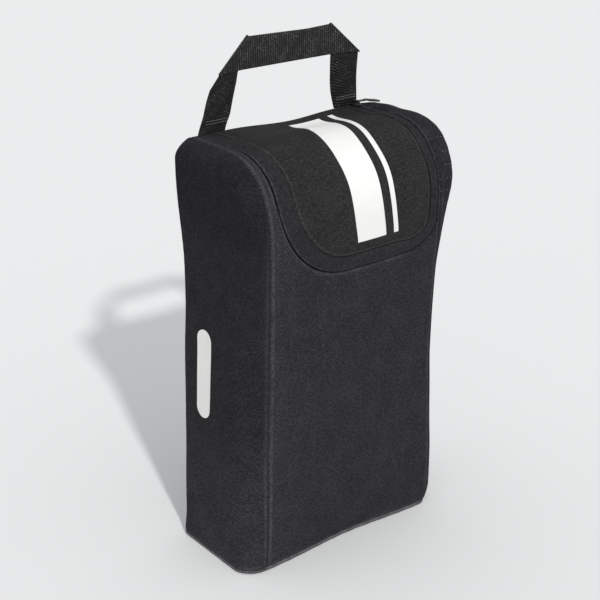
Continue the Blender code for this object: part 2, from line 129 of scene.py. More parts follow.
t0 = np.linspace(0, 1, 200, endpoint=False)
LINE = np.vstack([
    np.column_stack([Y_FRONT_LOW + (Y_FRONT_HIGH - Y_FRONT_LOW) * t0, Z_CURVE * t0]),
    curve_point(np.linspace(0, math.pi / 2, 400)),
    np.column_stack([Y_CURVE + (Y_BACK - Y_CURVE) * np.linspace(0, 1, 61)[1:], np.full(60, BAG_HEIGHT)]),
])
LINE_S = np.concatenate([[0], np.cumsum(np.linalg.norm(np.diff(LINE, axis=0), axis=1))])
even = np.linspace(0, LINE_S[-1], 900)
LINE = np.column_stack([np.interp(even, LINE_S, LINE[:, 0]), np.interp(even, LINE_S, LINE[:, 1])])
LINE_S = even
STEP = np.gradient(LINE, axis=0)
STEP /= np.linalg.norm(STEP, axis=1)[:, None]
OUT = np.column_stack([-STEP[:, 1], STEP[:, 0]])
S_END = LINE_S[-1]


def s_at_top(y):
    return S_END - (Y_BACK - y)


def front_y(z):
    return Y_FRONT_LOW + (Y_FRONT_HIGH - Y_FRONT_LOW) * np.clip(z / Z_CURVE, 0, 1)


def top_z(y):
    a, b = Y_CURVE - Y_FRONT_HIGH, BAG_HEIGHT - Z_CURVE
    t = np.clip((Y_CURVE - y) / a, 0, 1)
    return Z_CURVE + b * (1 - t**CURVE_POWER) ** (1 / CURVE_POWER)


def crown(x, s):
    across = np.clip(1 - (x / SEAM_X) ** 2, 0, None)
    return 0.002 * across * smooth(s / 0.06) * smooth((s_at_top(0.0462) - s) / 0.05)


def wrap(x, s, h):
    """Points at flat coordinates (x, s), h above the wrap's outer face; arrays of one shape."""
    x, s, h = np.broadcast_arrays(np.asarray(x, float), s, h)
    y, z = np.interp(s, LINE_S, LINE[:, 0]), np.interp(s, LINE_S, LINE[:, 1])
    ny, nz = np.interp(s, LINE_S, OUT[:, 0]), np.interp(s, LINE_S, OUT[:, 1])
    n = np.hypot(ny, nz)
    hh = h + crown(x, s)
    return np.stack([x, y + ny / n * hh, z + nz / n * hh], axis=-1)


# ---- meshes ----------------------------------------------------------------------------------


def new_mesh(name, verts, faces, materials, flat=None, edge=None, mat_index=None, sharp=None):
    me = bpy.data.meshes.new(name)
    me.from_pydata([tuple(v) for v in verts], [], [tuple(f) for f in faces])
    me.validate(clean_customdata=False)
    if mat_index is not None:
        me.polygons.foreach_set("material_index", np.asarray(mat_index, np.int32))
    if flat is None:
        flat = np.asarray(verts)
    a = me.attributes.new("flat", "FLOAT_VECTOR", "POINT")
    a.data.foreach_set("vector", np.asarray(flat, np.float32).ravel())
    # lighter edges: partly wear, partly painted highlight
    a = me.attributes.new("wear_and_highlight", "FLOAT", "POINT")
    a.data.foreach_set("value", np.asarray(edge if edge is not None else np.zeros(len(verts)), np.float32))
    # a colour factor for painted light and shade, 1 where none is painted
    a = me.attributes.new("painted_shading", "FLOAT", "POINT")
    a.data.foreach_set("value", np.ones(len(verts), np.float32))
    bm = bmesh.new()
    bm.from_mesh(me)
    bmesh.ops.recalc_face_normals(bm, faces=bm.faces)
    if bm.calc_volume(signed=True) < 0:
        bmesh.ops.reverse_faces(bm, faces=bm.faces)
    bm.to_mesh(me)
    bm.free()
    me.shade_smooth()
    if sharp:
        me.set_sharp_from_angle(angle=math.radians(sharp))
    for m in materials:
        me.materials.append(m)
    o = bpy.data.objects.new(name, me)
    bpy.context.scene.collection.objects.link(o)
    return o


def set_painted_shading(obj, value):
    """Painted light and shade on the cloth: a colour factor at each point, 1 where none is painted; value is a function
    of the points' x, y, z.
    """
    me = obj.data
    co = np.empty(len(me.vertices) * 3)
    me.vertices.foreach_get("co", co)
    co = co.reshape(-1, 3)
    me.attributes["painted_shading"].data.foreach_set("value", np.asarray(value(co[:, 0], co[:, 1], co[:, 2]) + 0 * co[:, 0], np.float32))


def grid_faces(rows, cols, start=0, closed=False):
    r, c = np.meshgrid(np.arange(rows - 1), np.arange(cols if closed else cols - 1), indexing="ij")
    a = r * cols + c
    b = r * cols + (c + 1) % cols
    return (np.stack([a, b, b + cols, a + cols], axis=-1).reshape(-1, 4) + start).tolist()


def shell(name, outer, inner, materials, flat, edge=None, seed=0.0, sharp=60):
    """A closed sheet from two grids of points (rows, cols, 3). The inner face takes the second material."""
    rows, cols = outer.shape[:2]
    half = rows * cols
    verts = np.vstack([outer.reshape(-1, 3), inner.reshape(-1, 3)])
    f1 = grid_faces(rows, cols)
    f2 = [f[::-1] for f in grid_faces(rows, cols, half)]
    ids = [c for c in range(cols)] + [r * cols + cols - 1 for r in range(1, rows)]
    ids += [(rows - 1) * cols + c for c in range(cols - 2, -1, -1)] + [r * cols for r in range(rows - 2, 0, -1)]
    rim = [(b, a, half + a, half + b) for a, b in zip(ids, ids[1:] + ids[:1])]
    index = [0] * len(f1) + [1 if len(materials) > 1 else 0] * len(f2) + [0] * len(rim)
    fl = np.concatenate([flat, np.full(flat.shape[:2] + (1,), seed)], axis=-1).reshape(-1, 3)
    ed = np.zeros(half) if edge is None else np.asarray(edge, float).reshape(-1)
    return new_mesh(name, verts, f1 + f2 + rim, materials, np.vstack([fl, fl]), np.concatenate([ed, ed * 0]), index, sharp)


def tube(name, rings, materials, flat, edge=None, closed_ends=True, sharp=None):
    """A closed body from rings of points (rings, around, 3)."""
    n, m = rings.shape[:2]
    faces = grid_faces(n, m, closed=True)
    if closed_ends:
        faces += [tuple(range(m))[::-1], tuple(range((n - 1) * m, n * m))]
    return new_mesh(name, rings.reshape(-1, 3), faces, materials, flat.reshape(-1, 3), edge, None, sharp)


# ---- how the filled bag hangs: small shifts shared by every sewn piece -------------------------

SLIDER = np.array([ZIP_X, 0.0464, BAG_HEIGHT])


RIGHT_SEAM = table([(0, 0.0058), (0.015, 0.0060), (0.060, 0.0042), (0.105, 0.0006), (0.158, -0.0026), (0.200, -0.0022), (0.255, 0.0), (0.345, 0.0)], 0.012)


def drape(p, amount=1.0):
    """Shifts points with the soft shape of the bag; neighbours shift together."""
    p = np.array(p, float)
    q = p.copy()
    x, y, z = p[..., 0], p[..., 1], p[..., 2]
    past = np.clip(np.abs(y - SLIDER[1] + 0.017) - 0.020, 0, None)
    track = np.exp(-(((x - SLIDER[0]) / 0.0085) ** 4) - (past / 0.008) ** 2) * smooth((z - 0.300) / 0.020)
    parked = np.exp(-((x - SLIDER[0]) ** 2 + (y - SLIDER[1]) ** 2) / 0.022**2)
    still = smooth((0.0500 - y) / 0.022) * (1 - track) * (1 - parked)
    low = smooth(z / 0.035)
    s1 = np.stack([x, y, z], axis=-1) / 0.062
    s2 = np.stack([x, y, z], axis=-1) / 0.029
    for axis, seed in ((0, 3), (1, 11), (2, 23)):
        d = 0.0011 * vnoise(s1 + seed * 0.37, seed) + 0.00045 * vnoise(s2 + seed * 0.71, seed + 5)
        keep = low * (still if axis else np.ones_like(still))
        q[..., axis] += amount * d * keep * (0.7 if axis == 2 else 1.0)
    # the top dips a little behind the middle
    high = smooth((z - 0.300) / 0.040)
    over = smooth((x - 0.030) / 0.048) * np.exp(-(((y + 0.012) / 0.025) ** 4)) * smooth((z - 0.285) / 0.045)
    q[..., 2] += 0.0032 * over + 0.0026 * smooth((x - 0.085) / 0.008) * np.exp(-(((y - 0.026) / 0.014) ** 2)) * smooth((z - 0.300) / 0.030)
    q[..., 1] -= 0.0006 * over
    q[..., 2] -= amount * 0.0032 * high * np.exp(-(((x - 0.010) / 0.036) ** 2)) * smooth((y - 0.006) / 0.03)
    # the right front seam leans in at mid height and flares towards the foot
    ahead = smooth((0.012 - y) / 0.045)
    q[..., 0] += RIGHT_SEAM(z) * smooth((x - 0.030) / 0.050) * ahead
    # the front foot is pushed in between its corners
    q[..., 1] += 0.0052 * np.exp(-(((x - 0.004) / 0.052) ** 2)) * smooth((0.050 - z) / 0.050) * smooth((0.010 - y) / 0.040)
    # the right corner pulls in and up at the foot, the others only a little
    foot = np.clip(1 - z / 0.020, 0, 1) ** 2
    cy = smooth((np.abs(y - 0.0057) - 0.022) / 0.026)
    right = smooth((x - 0.050) / 0.035)
    left = smooth((-x - 0.055) / 0.035)
    front = y < 0.0057
    q[..., 0] -= foot * right * np.where(front, 0.0024 + 0.0042 * cy, 0.0030 * (0.5 + 0.5 * cy))
    q[..., 1] += foot * cy * np.where(front, 0.0008, -0.0020) * right
    q[..., 1] += foot * cy * np.where(front, 0.0002, -0.0010) * left
    return q


def pucker(d, s, strength, seed, wavelength=0.0085, reach=0.006):
    """Small gathers that run in from a seam; d is the distance from it, s runs along it."""
    wander = 0.004 * vnoise(np.stack([s / 0.030, s * 0 + seed, s * 0], axis=-1), seed)
    size = 0.55 + 0.45 * vnoise(np.stack([s / 0.022, s * 0, s * 0 + seed], axis=-1), seed + 1)
    return strength * size * np.exp(-np.clip(d, 0, None) / reach) * np.sin(2 * math.pi * (s + wander) / wavelength)


def pinch(d, depth=0.0015, reach=0.0024):
    return -depth * np.clip(1 - d / reach, 0, 1) ** 2


# ---- the zip line: a U, gentle at its left corner and tight at its right one -------------------

S_HINGE = s_at_top(Y_HINGE)
RIGHT_RX, RIGHT_RS, LEFT_RX, LEFT_RS = 0.033, 0.024, 0.060, 0.068
RIGHT_X = table([(0.25, 0.0824), (0.320, 0.0824), (0.345, 0.0812), (0.372, 0.0790), (0.396, ZIP_X), (0.45, ZIP_X)], 0.009)


def zip_line(s_end, side=130, corner=80, bottom=60):
    """Points (x, s) of the zip line from the right end to the left end, and inward normals."""
    def xr(s):
        return RIGHT_X(s)
    def xl(s):
        return -(ZIP_X - 0.0018 * smooth((S_HINGE - 0.01 - s) / 0.05))
    sr, sl = CUT_S + RIGHT_RS, CUT_S + LEFT_RS
    x_r, x_l = xr(sr), xl(sl)
    pts = []
    s = s_end + (sr - s_end) * np.arange(side) / side
    pts.append(np.column_stack([xr(s), s]))
    a = math.pi / 2 * np.arange(corner) / corner
    pts.append(np.column_stack([x_r - RIGHT_RX + RIGHT_RX * np.cos(a), sr - RIGHT_RS * np.sin(a)]))
    x = np.linspace(x_r - RIGHT_RX, x_l + LEFT_RX, bottom + 1)
    pts.append(np.column_stack([x, np.full(bottom + 1, CUT_S)]))
    a = math.pi / 2 * (1 - np.arange(1, corner + 1) / corner)
    pts.append(np.column_stack([x_l + LEFT_RX - LEFT_RX * np.cos(a), sl - LEFT_RS * np.sin(a)]))
    s = sl + (s_end - sl) * np.arange(1, side + 1) / side
    pts.append(np.column_stack([xl(s), s]))
    p = np.vstack(pts)
    t = np.gradient(p, axis=0)
    t /= np.linalg.norm(t, axis=1)[:, None]
    return p, np.column_stack([t[:, 1], -t[:, 0]])


def inward(p, n):
    """Normals turned so that they point into the U."""
    middle = np.array([0.0, S_HINGE])
    side = ((middle - p) * n).sum(1)
    return n * np.where(side >= 0, 1, -1)[:, None]


def even_line(p, n, count):
    d = np.concatenate([[0], np.cumsum(np.linalg.norm(np.diff(p, axis=0), axis=1))])
    t = np.linspace(0, d[-1], count)
    q = np.column_stack([np.interp(t, d, p[:, 0]), np.interp(t, d, p[:, 1])])
    m = np.column_stack([np.interp(t, d, n[:, 0]), np.interp(t, d, n[:, 1])])
    return q, m / np.linalg.norm(m, axis=1)[:, None], t


def band_width(p):
    """How wide the band is along the U: wide on the left, narrower on the right."""
    left = smooth((-0.010 - p[:, 0]) / 0.055)
    right = smooth((p[:, 0] - 0.030) / 0.045)
    return 0.0110 + 0.0032 * left - 0.0030 * right


def distance_field(points, line):
    """Distance of flat points (n, 2) to a polyline."""
    kd = KDTree(len(line))
    for i, q in enumerate(line):
        kd.insert((q[0], q[1], 0), i)
    kd.balance()
    out = np.empty(len(points))
    for k, q in enumerate(points):
        _, i, d = kd.find((q[0], q[1], 0))
        best = d
        for j in (i - 1, i):
            if 0 <= j < len(line) - 1:
                a, b = line[j], line[j + 1]
                ab = b - a
                t = min(max(((q - a) @ ab) / max(ab @ ab, 1e-18), 0), 1)
                best = min(best, float(np.linalg.norm(a + ab * t - q)))
        out[k] = best
    return out


# ---- materials -----------------------------------------------------------------------------------


class Nodes:
    def __init__(self, name):
        self.m = bpy.data.materials.new(name)
        self.m.use_nodes = True
        self.t = self.m.node_tree
        self.shader = self.t.nodes["Principled BSDF"]

    def put(self, socket, value):
        if hasattr(value, "is_output") or isinstance(value, bpy.types.NodeSocket):
            self.t.links.new(value, socket)
        elif value is not None:
            socket.default_value = value

    def math(self, op, a, b=None, c=None, clamp=False):
        n = self.t.nodes.new("ShaderNodeMath")
        n.operation, n.use_clamp = op, clamp
        for i, v in enumerate((a, b, c)):
            self.put(n.inputs[i], v)
        return n.outputs[0]

    def vector(self, op, a, b=None, scale=None):
        n = self.t.nodes.new("ShaderNodeVectorMath")
        n.operation = op
        self.put(n.inputs[0], a)
        if b is not None:
            self.put(n.inputs[1], b)
        if scale is not None:
            self.put(n.inputs["Scale"], scale)
        return n.outputs[0]

    def attribute(self, name, kind="Vector"):
        n = self.t.nodes.new("ShaderNodeAttribute")
        n.attribute_name = name
        return n.outputs[kind]

    def split(self, v):
        n = self.t.nodes.new("ShaderNodeSeparateXYZ")
        self.put(n.inputs[0], v)
        return n.outputs

    def join(self, x, y, z):
        n = self.t.nodes.new("ShaderNodeCombineXYZ")
        for i, v in enumerate((x, y, z)):
            self.put(n.inputs[i], v)
        return n.outputs[0]

    def noise(self, v, scale, detail=2.0, rough=0.5, distortion=0.0):
        n = self.t.nodes.new("ShaderNodeTexNoise")
        self.put(n.inputs["Vector"], v)
        n.inputs["Scale"].default_value = scale
        n.inputs["Detail"].default_value = detail
        n.inputs["Roughness"].default_value = rough
        n.inputs["Distortion"].default_value = distortion
        return n.outputs["Fac"]

    def remap(self, v, a, b, c=0.0, d=1.0, kind="LINEAR"):
        n = self.t.nodes.new("ShaderNodeMapRange")
        n.interpolation_type = kind
        self.put(n.inputs["Value"], v)
        for k, w in (("From Min", a), ("From Max", b), ("To Min", c), ("To Max", d)):
            self.put(n.inputs[k], w)
        return n.outputs[0]

    def mix(self, f, a, b, blend="MIX"):
        n = self.t.nodes.new("ShaderNodeMix")
        n.data_type, n.blend_type = "RGBA", blend
        self.put(n.inputs[0], f)
        self.put(n.inputs[6], a)
        self.put(n.inputs[7], b)
        return n.outputs[2]

    def bump(self, height, distance, strength=1.0, normal=None):
        n = self.t.nodes.new("ShaderNodeBump")
        n.inputs["Strength"].default_value = strength
        n.inputs["Distance"].default_value = distance
        self.put(n.inputs["Height"], height)
        if normal is not None:
            self.put(n.inputs["Normal"], normal)
        return n.outputs[0]

    def finish(self, colour, rough, normal=None, metallic=0.0, specular=0.5, sheen=0.0, sheen_tint=(1, 1, 1, 1), coat=0.0, anisotropic=0.0):
        s = self.shader.inputs
        self.put(s["Base Color"], colour)
        self.put(s["Roughness"], rough)
        self.put(s["Metallic"], metallic)
        if normal is not None:
            self.put(s["Normal"], normal)
        s["Specular IOR Level"].default_value = specular
        s["Sheen Weight"].default_value = sheen
        s["Sheen Roughness"].default_value = 0.45
        s["Sheen Tint"].default_value = sheen_tint
        s["Coat Weight"].default_value = coat
        s["Anisotropic"].default_value = anisotropic
        return self.m


def rgb(r, g, b):
    return (r, g, b, 1.0)


def plain_weave(n, pitch, tilt=0.0):
    """Thread height, which thread is on top, and the flat coordinates in millimetres."""
    flat = n.vector("MULTIPLY", n.attribute("flat"), (1000.0, 1000.0, 1000.0))
    x, s, seed = n.split(flat)
    wob = n.noise(flat, 0.16, 2.0)
    x = n.math("ADD", x, n.math("MULTIPLY", wob, 0.5))
    s = n.math("ADD", s, n.math("MULTIPLY", n.noise(n.vector("ADD", flat, (31.0, 17.0, 0.0)), 0.16, 2.0), 0.5))
    cx = n.math("COSINE", n.math("MULTIPLY", x, math.pi / pitch))
    cs = n.math("COSINE", n.math("MULTIPLY", s, math.pi / pitch))
    over = n.remap(n.math("MULTIPLY", cx, cs), -0.35, 0.35)
    ax, as_ = n.math("ABSOLUTE", cx), n.math("ABSOLUTE", cs)
    warp = n.math("MULTIPLY", ax, n.math("MULTIPLY_ADD", as_, 0.4, 0.6))
    weft = n.math("MULTIPLY", as_, n.math("MULTIPLY_ADD", ax, 0.4, 0.6))
    mixed = n.math("ADD", n.math("MULTIPLY", warp, over), n.math("MULTIPLY", weft, n.math("SUBTRACT", 1.0, over)))
    return mixed, over, flat, x, s


def melange(name, dark, light, pitch=0.62, contrast=1.0, rough=0.90, specular=0.06, sheen=0.015, bump=0.12, tint=(1.0, 1.0, 1.0)):
    """Woven polyester in mixed black and charcoal yarn."""
    n = Nodes(name)
    height, over, flat, x, s = plain_weave(n, pitch)
    along_x = n.noise(n.vector("MULTIPLY", flat, (0.42, 1.55, 1.0)), 1.0, 3.0, 0.62)
    along_s = n.noise(n.vector("MULTIPLY", n.vector("ADD", flat, (7.3, 2.9, 4.0)), (1.55, 0.42, 1.0)), 1.0, 3.0, 0.62)
    yarn = n.mix(over, n.join(along_x, along_x, along_x), n.join(along_s, along_s, along_s))
    yarn = n.remap(n.split(yarn)[0], 0.42, 0.68, 0.0, 1.0)
    slub_x = n.remap(n.noise(n.vector("MULTIPLY", flat, (0.30, 0.85, 1.0)), 1.0, 2.0, 0.6), 0.47, 0.68)
    slub_s = n.remap(n.noise(n.vector("MULTIPLY", n.vector("ADD", flat, (91.0, 13.0, 8.0)), (0.85, 0.34, 1.0)), 1.0, 2.0, 0.6), 0.50, 0.70)
    slub = n.math("MAXIMUM", slub_x, slub_s)
    twill = n.math("ABSOLUTE", n.math("SINE", n.math("MULTIPLY", n.math("ADD", x, n.math("MULTIPLY", s, 1.0)), math.pi / 2.6)))
    twill = n.math("MULTIPLY", n.math("SUBTRACT", twill, 0.5), n.remap(n.noise(flat, 0.07, 2.0), 0.42, 0.60, 0.0, 0.30))
    speck = n.remap(n.noise(flat, 0.95, 2.0, 0.7), 0.58, 0.72)
    # painted shade: the colour is darker in the hollows between the threads
    thread = n.remap(height, 0.15, 1.0, 0.45, 1.0)
    cloud = n.remap(n.noise(flat, 0.045, 3.0, 0.55), 0.3, 0.7, 0.90, 1.10)
    # edges made lighter: partly rubbed wear, partly a painted highlight along turned seam edges
    wear_and_highlight = n.attribute("wear_and_highlight", "Fac")
    wear_and_highlight = n.math("MULTIPLY", wear_and_highlight, n.remap(n.noise(flat, 0.35, 3.0), 0.35, 0.65, 0.2, 1.0))
    amount = n.math("ADD", n.math("MULTIPLY", yarn, 0.22 * contrast), n.math("MULTIPLY", speck, 0.26 * contrast))
    amount = n.math("ADD", amount, n.math("MULTIPLY", slub, 0.30 * contrast))
    amount = n.math("ADD", amount, n.math("MULTIPLY", twill, contrast))
    amount = n.math("ADD", amount, n.math("MULTIPLY", wear_and_highlight, 0.42), clamp=True)
    colour = n.mix(amount, dark, light)
    # random tone times the painted shade of the weave's hollows and the piece's painted light and shade
    factor = n.math("MULTIPLY", n.math("MULTIPLY", thread, cloud), n.attribute("painted_shading", "Fac"))
    colour = n.mix(1.0, colour, n.join(n.math("MULTIPLY", factor, tint[0]), n.math("MULTIPLY", factor, tint[1]), n.math("MULTIPLY", factor, tint[2])), "MULTIPLY")
    fuzz = n.noise(flat, 2.6, 2.0, 0.6)
    relief = n.math("ADD", height, n.math("MULTIPLY", fuzz, 0.5))
    normal = n.bump(relief, bump * MM, 0.75)
    slow = n.noise(flat, 0.22, 2.0, 0.5)
    normal = n.bump(slow, 0.35 * MM, 0.6, normal)
    roughness = n.remap(yarn, 0.0, 1.0, rough + 0.06, rough - 0.08)
    return n.finish(colour, roughness, normal, specular=specular, sheen=sheen, sheen_tint=rgb(0.75, 0.77, 0.85))


def tape_material(name, colour, light, pitch=0.8):
    """Herringbone tape."""
    n = Nodes(name)
    flat = n.vector("MULTIPLY", n.attribute("flat"), (1000.0, 1000.0, 1000.0))
    x, s, _ = n.split(flat)
    zig = n.math("PINGPONG", x, 2.0)
    rows = n.math("ABSOLUTE", n.math("SINE", n.math("MULTIPLY", n.math("ADD", s, zig), math.pi / pitch)))
    thread = n.math("ABSOLUTE", n.math("SINE", n.math("MULTIPLY", x, math.pi / 0.5)))
    relief = n.math("ADD", n.math("MULTIPLY", rows, 0.8), n.math("MULTIPLY", thread, 0.3))
    # painted shade between the rows of the weave, times random tone
    painted_shading = n.math("MULTIPLY", n.remap(relief, 0, 1.1, 0.5, 1.1), n.remap(n.noise(flat, 0.8, 3.0), 0.3, 0.7, 0.75, 1.25))
    col = n.mix(n.remap(n.noise(flat, 3.0, 2.0), 0.45, 0.8), colour, light)
    col = n.mix(1.0, col, n.join(painted_shading, painted_shading, painted_shading), "MULTIPLY")
    return n.finish(col, n.remap(relief, 0, 1.1, 0.95, 0.75), n.bump(relief, 0.12 * MM, 0.7), specular=0.2, sheen=0.08)


def webbing_material(name):
    """Nylon webbing: ribs across the width, fine warp yarns between them; the glints on the ribs and the shade between
    them are painted into the colour.
    """
    n = Nodes(name)
    flat = n.vector("MULTIPLY", n.attribute("flat"), (1000.0, 1000.0, 1000.0))
    v, u, _ = n.split(flat)
    rib = n.math("ABSOLUTE", n.math("COSINE", n.math("MULTIPLY", u, math.pi / 2.15)))
    half = n.math("GREATER_THAN", n.math("SINE", n.math("MULTIPLY", u, math.pi / 2.15)), 0.0)
    shift = n.math("MULTIPLY", half, 0.45)
    yarn = n.math("ABSOLUTE", n.math("SINE", n.math("MULTIPLY", n.math("ADD", v, shift), math.pi / 0.9)))
    # painted highlights: light glints where yarns cross on the rib tops, in patches
    glint_dots = n.math("MULTIPLY", n.remap(rib, 0.45, 0.95), n.remap(yarn, 0.35, 0.95))
    grain = n.noise(n.vector("MULTIPLY", flat, (1.0, 0.5, 1.0)), 1.3, 3.0, 0.7)
    patch = n.remap(n.noise(flat, 0.11, 2.0), 0.40, 0.62)
    lit = n.math("MULTIPLY", glint_dots, n.math("MULTIPLY", n.remap(grain, 0.46, 0.70), n.math("MULTIPLY_ADD", patch, 0.75, 0.25)))
    # the piece's painted shade: it darkens the ground and dims the glints on the shaded legs
    painted_shade_attr = n.attribute("painted_shading", "Fac")
    ground = n.mix(1.0, rgb(0.0125, 0.0125, 0.0135), n.join(painted_shade_attr, painted_shade_attr, painted_shade_attr), "MULTIPLY")
    col = n.mix(n.math("MULTIPLY", n.math("MULTIPLY", lit, 0.95), n.remap(painted_shade_attr, 0.4, 1.0, 0.55, 1.0)), ground, rgb(0.260, 0.260, 0.265))
    wear_and_highlight = n.math("MULTIPLY", n.attribute("wear_and_highlight", "Fac"), n.math("MULTIPLY", n.remap(grain, 0.4, 0.7), painted_shade_attr))
    col = n.mix(n.math("MULTIPLY", wear_and_highlight, 0.5), col, rgb(0.05, 0.05, 0.052))
    # painted shade: darker between the ribs, times random grain tone
    painted_shading = n.math("MULTIPLY", n.remap(rib, 0.0, 1.0, 0.45, 1.1), n.remap(grain, 0.3, 0.7, 0.8, 1.2))
    col = n.mix(1.0, col, n.join(painted_shading, painted_shading, painted_shading), "MULTIPLY")
    relief = n.math("ADD", n.math("MULTIPLY", rib, 0.5), n.math("MULTIPLY", yarn, n.math("MULTIPLY", rib, 0.5)))
    return n.finish(col, n.remap(lit, 0, 1, 0.80, 0.5), n.bump(relief, 0.22 * MM, 0.8), specular=0.14, sheen=0.02)


def lining_material(name, colour, pitch=0.45, rough=0.5, specular=0.25):
    n = Nodes(name)
    height, over, flat, x, s = plain_weave(n, pitch)
    # painted shade along soft creases and in the weave's hollows; the creases are also bumped
    crease = n.noise(flat, 0.06, 4.0, 0.6, 0.6)
    painted_shading = n.math("MULTIPLY", n.remap(height, 0, 1, 0.6, 1.1), n.remap(crease, 0.3, 0.7, 0.8, 1.2))
    col = n.mix(1.0, colour, n.join(painted_shading, painted_shading, painted_shading), "MULTIPLY")
    normal = n.bump(crease, 0.8 * MM, 0.5, n.bump(height, 0.05 * MM, 0.6))
    return n.finish(col, n.remap(crease, 0.3, 0.7, rough - 0.06, rough + 0.1), normal, specular=specular, sheen=0.05)


def print_material(name):
    """White transfer film: it bridges the threads, so the weave shows through softly."""
    n = Nodes(name)
    height, over, flat, x, s = plain_weave(n, 0.62)
    grain = n.noise(flat, 1.4, 3.0, 0.6)
    blot = n.noise(flat, 0.10, 2.0)
    col = n.mix(n.remap(grain, 0.35, 0.7, 0.0, 1.0), rgb(0.655, 0.650, 0.640), rgb(0.705, 0.701, 0.689))
    # faint painted shade in the weave's hollows under the film, times random blotches of tone
    painted_shading = n.math("MULTIPLY", n.remap(height, 0, 1, 0.965, 1.0), n.remap(blot, 0.3, 0.7, 0.985, 1.01))
    col = n.mix(1.0, col, n.join(painted_shading, painted_shading, painted_shading), "MULTIPLY")
    wear_and_highlight = n.math("MULTIPLY", n.attribute("wear_and_highlight", "Fac"), n.remap(grain, 0.48, 0.66))
    col = n.mix(n.math("MULTIPLY", wear_and_highlight, 0.35), col, rgb(0.45, 0.45, 0.45))
    return n.finish(col, n.remap(grain, 0.3, 0.7, 0.48, 0.64), n.bump(n.math("ADD", height, grain), 0.07 * MM, 0.7), specular=0.2)


def nylon_material(name, colour, rough=0.36):
    n = Nodes(name)
    g = n.vector("MULTIPLY", n.attribute("flat"), (1000.0, 1000.0, 1000.0))
    grain = n.noise(g, 1.2, 3.0)
    col = n.mix(n.remap(grain, 0.4, 0.8), colour, rgb(colour[0] * 2.2, colour[1] * 2.2, colour[2] * 2.2))
    return n.finish(col, n.remap(grain, 0.3, 0.7, rough - 0.06, rough + 0.12), n.bump(grain, 0.03 * MM, 0.4), specular=0.4)


def metal_material(name):
    """Black painted zinc, rubbed through in scattered patches and scratches."""
    n = Nodes(name)
    co = n.t.nodes.new("ShaderNodeTexCoord").outputs["Object"]
    grain = n.noise(n.vector("MULTIPLY", co, (1000.0, 1000.0, 1000.0)), 0.9, 4.0, 0.6)
    scratch = n.noise(n.vector("MULTIPLY", co, (400.0, 4000.0, 1500.0)), 1.0, 2.0)
    rub = n.remap(n.math("ADD", grain, n.math("MULTIPLY", scratch, 0.35)), 0.82, 0.95)
    col = n.mix(rub, rgb(0.016, 0.016, 0.017), rgb(0.18, 0.18, 0.18))
    return n.finish(col, n.remap(grain, 0.3, 0.7, 0.28, 0.5), n.bump(grain, 0.04 * MM, 0.35), metallic=n.remap(rub, 0, 1, 0.15, 0.9), specular=0.5)


def rubber_material(name):
    n = Nodes(name)
    co = n.t.nodes.new("ShaderNodeTexCoord").outputs["Object"]
    v = n.vector("MULTIPLY", co, (1000.0, 1000.0, 1000.0))
    x, y, z = n.split(v)
    ribs = n.math("ABSOLUTE", n.math("SINE", n.math("MULTIPLY", x, math.pi / 1.6)))
    grain = n.noise(v, 2.0, 4.0, 0.7)
    col = n.mix(n.remap(grain, 0.4, 0.8), rgb(0.013, 0.013, 0.014), rgb(0.035, 0.035, 0.036))
    relief = n.math("ADD", n.math("MULTIPLY", ribs, 0.6), n.math("MULTIPLY", grain, 0.5))
    return n.finish(col, n.remap(grain, 0.3, 0.7, 0.52, 0.72), n.bump(relief, 0.12 * MM, 0.6), specular=0.35)


def thread_material(name, colour):
    n = Nodes(name)
    v = n.vector("MULTIPLY", n.attribute("flat"), (1000.0, 1000.0, 1000.0))
    twist = n.math("ABSOLUTE", n.math("SINE", n.math("MULTIPLY", n.math("ADD", n.split(v)[0], n.split(v)[1]), 9.0)))
    # painted highlight along the crests of the twist
    col = n.mix(twist, colour, rgb(min(1, colour[0] * 2.4), min(1, colour[1] * 2.4), min(1, colour[2] * 2.4)))
    return n.finish(col, 0.6, n.bump(twist, 0.05 * MM, 0.7), specular=0.3, sheen=0.1)


def label_material(name):
    n = Nodes(name)
    height, over, flat, x, s = plain_weave(n, 0.35)
    g = n.noise(flat, 0.5, 3.0)
    # painted shade in the weave's hollows, times random tone
    painted_shading = n.math("MULTIPLY", n.remap(height, 0, 1, 0.88, 1.0), n.remap(g, 0.3, 0.7, 0.94, 1.02))
    col = n.mix(1.0, rgb(0.74, 0.74, 0.72), n.join(painted_shading, painted_shading, painted_shading), "MULTIPLY")
    return n.finish(col, 0.5, n.bump(height, 0.04 * MM, 0.5), specular=0.35)


DARK, LIGHT = rgb(0.0144, 0.0140, 0.0162), rgb(0.094, 0.092, 0.103)
M_FRONT = melange("woven_front", DARK, LIGHT, contrast=1.0)
# the gussets take the front's cloth made darker: painted shade for the sides turned away from the light
M_SIDE_SHADED = melange("woven_side_shaded", rgb(0.0105, 0.0103, 0.0119), rgb(0.076, 0.074, 0.084), contrast=1.1)
M_LID = melange("woven_lid", rgb(0.0118, 0.0118, 0.0118), rgb(0.088, 0.088, 0.086), contrast=1.1)
M_BAND = melange("woven_band", rgb(0.0140, 0.0138, 0.0155), rgb(0.084, 0.083, 0.092), contrast=1.0, pitch=0.55)
M_BASE = melange("woven_base", rgb(0.045, 0.045, 0.047), rgb(0.170, 0.170, 0.176), contrast=0.8, pitch=0.9, rough=0.7, specular=0.25)
M_COAT = lining_material("coated_inside", rgb(0.022, 0.022, 0.023), 0.62, 0.55, 0.25)
M_LINING = lining_material("lining", rgb(0.018, 0.018, 0.019), 0.40, 0.46, 0.3)
M_TAPE = tape_material("zip_tape", rgb(0.011, 0.011, 0.012), rgb(0.030, 0.030, 0.031))
M_BIND = tape_material("binding", rgb(0.012, 0.012, 0.013), rgb(0.034, 0.034, 0.035), 1.1)
M_WEB = webbing_material("webbing")
M_COIL = nylon_material("zip_coil", rgb(0.010, 0.010, 0.010))
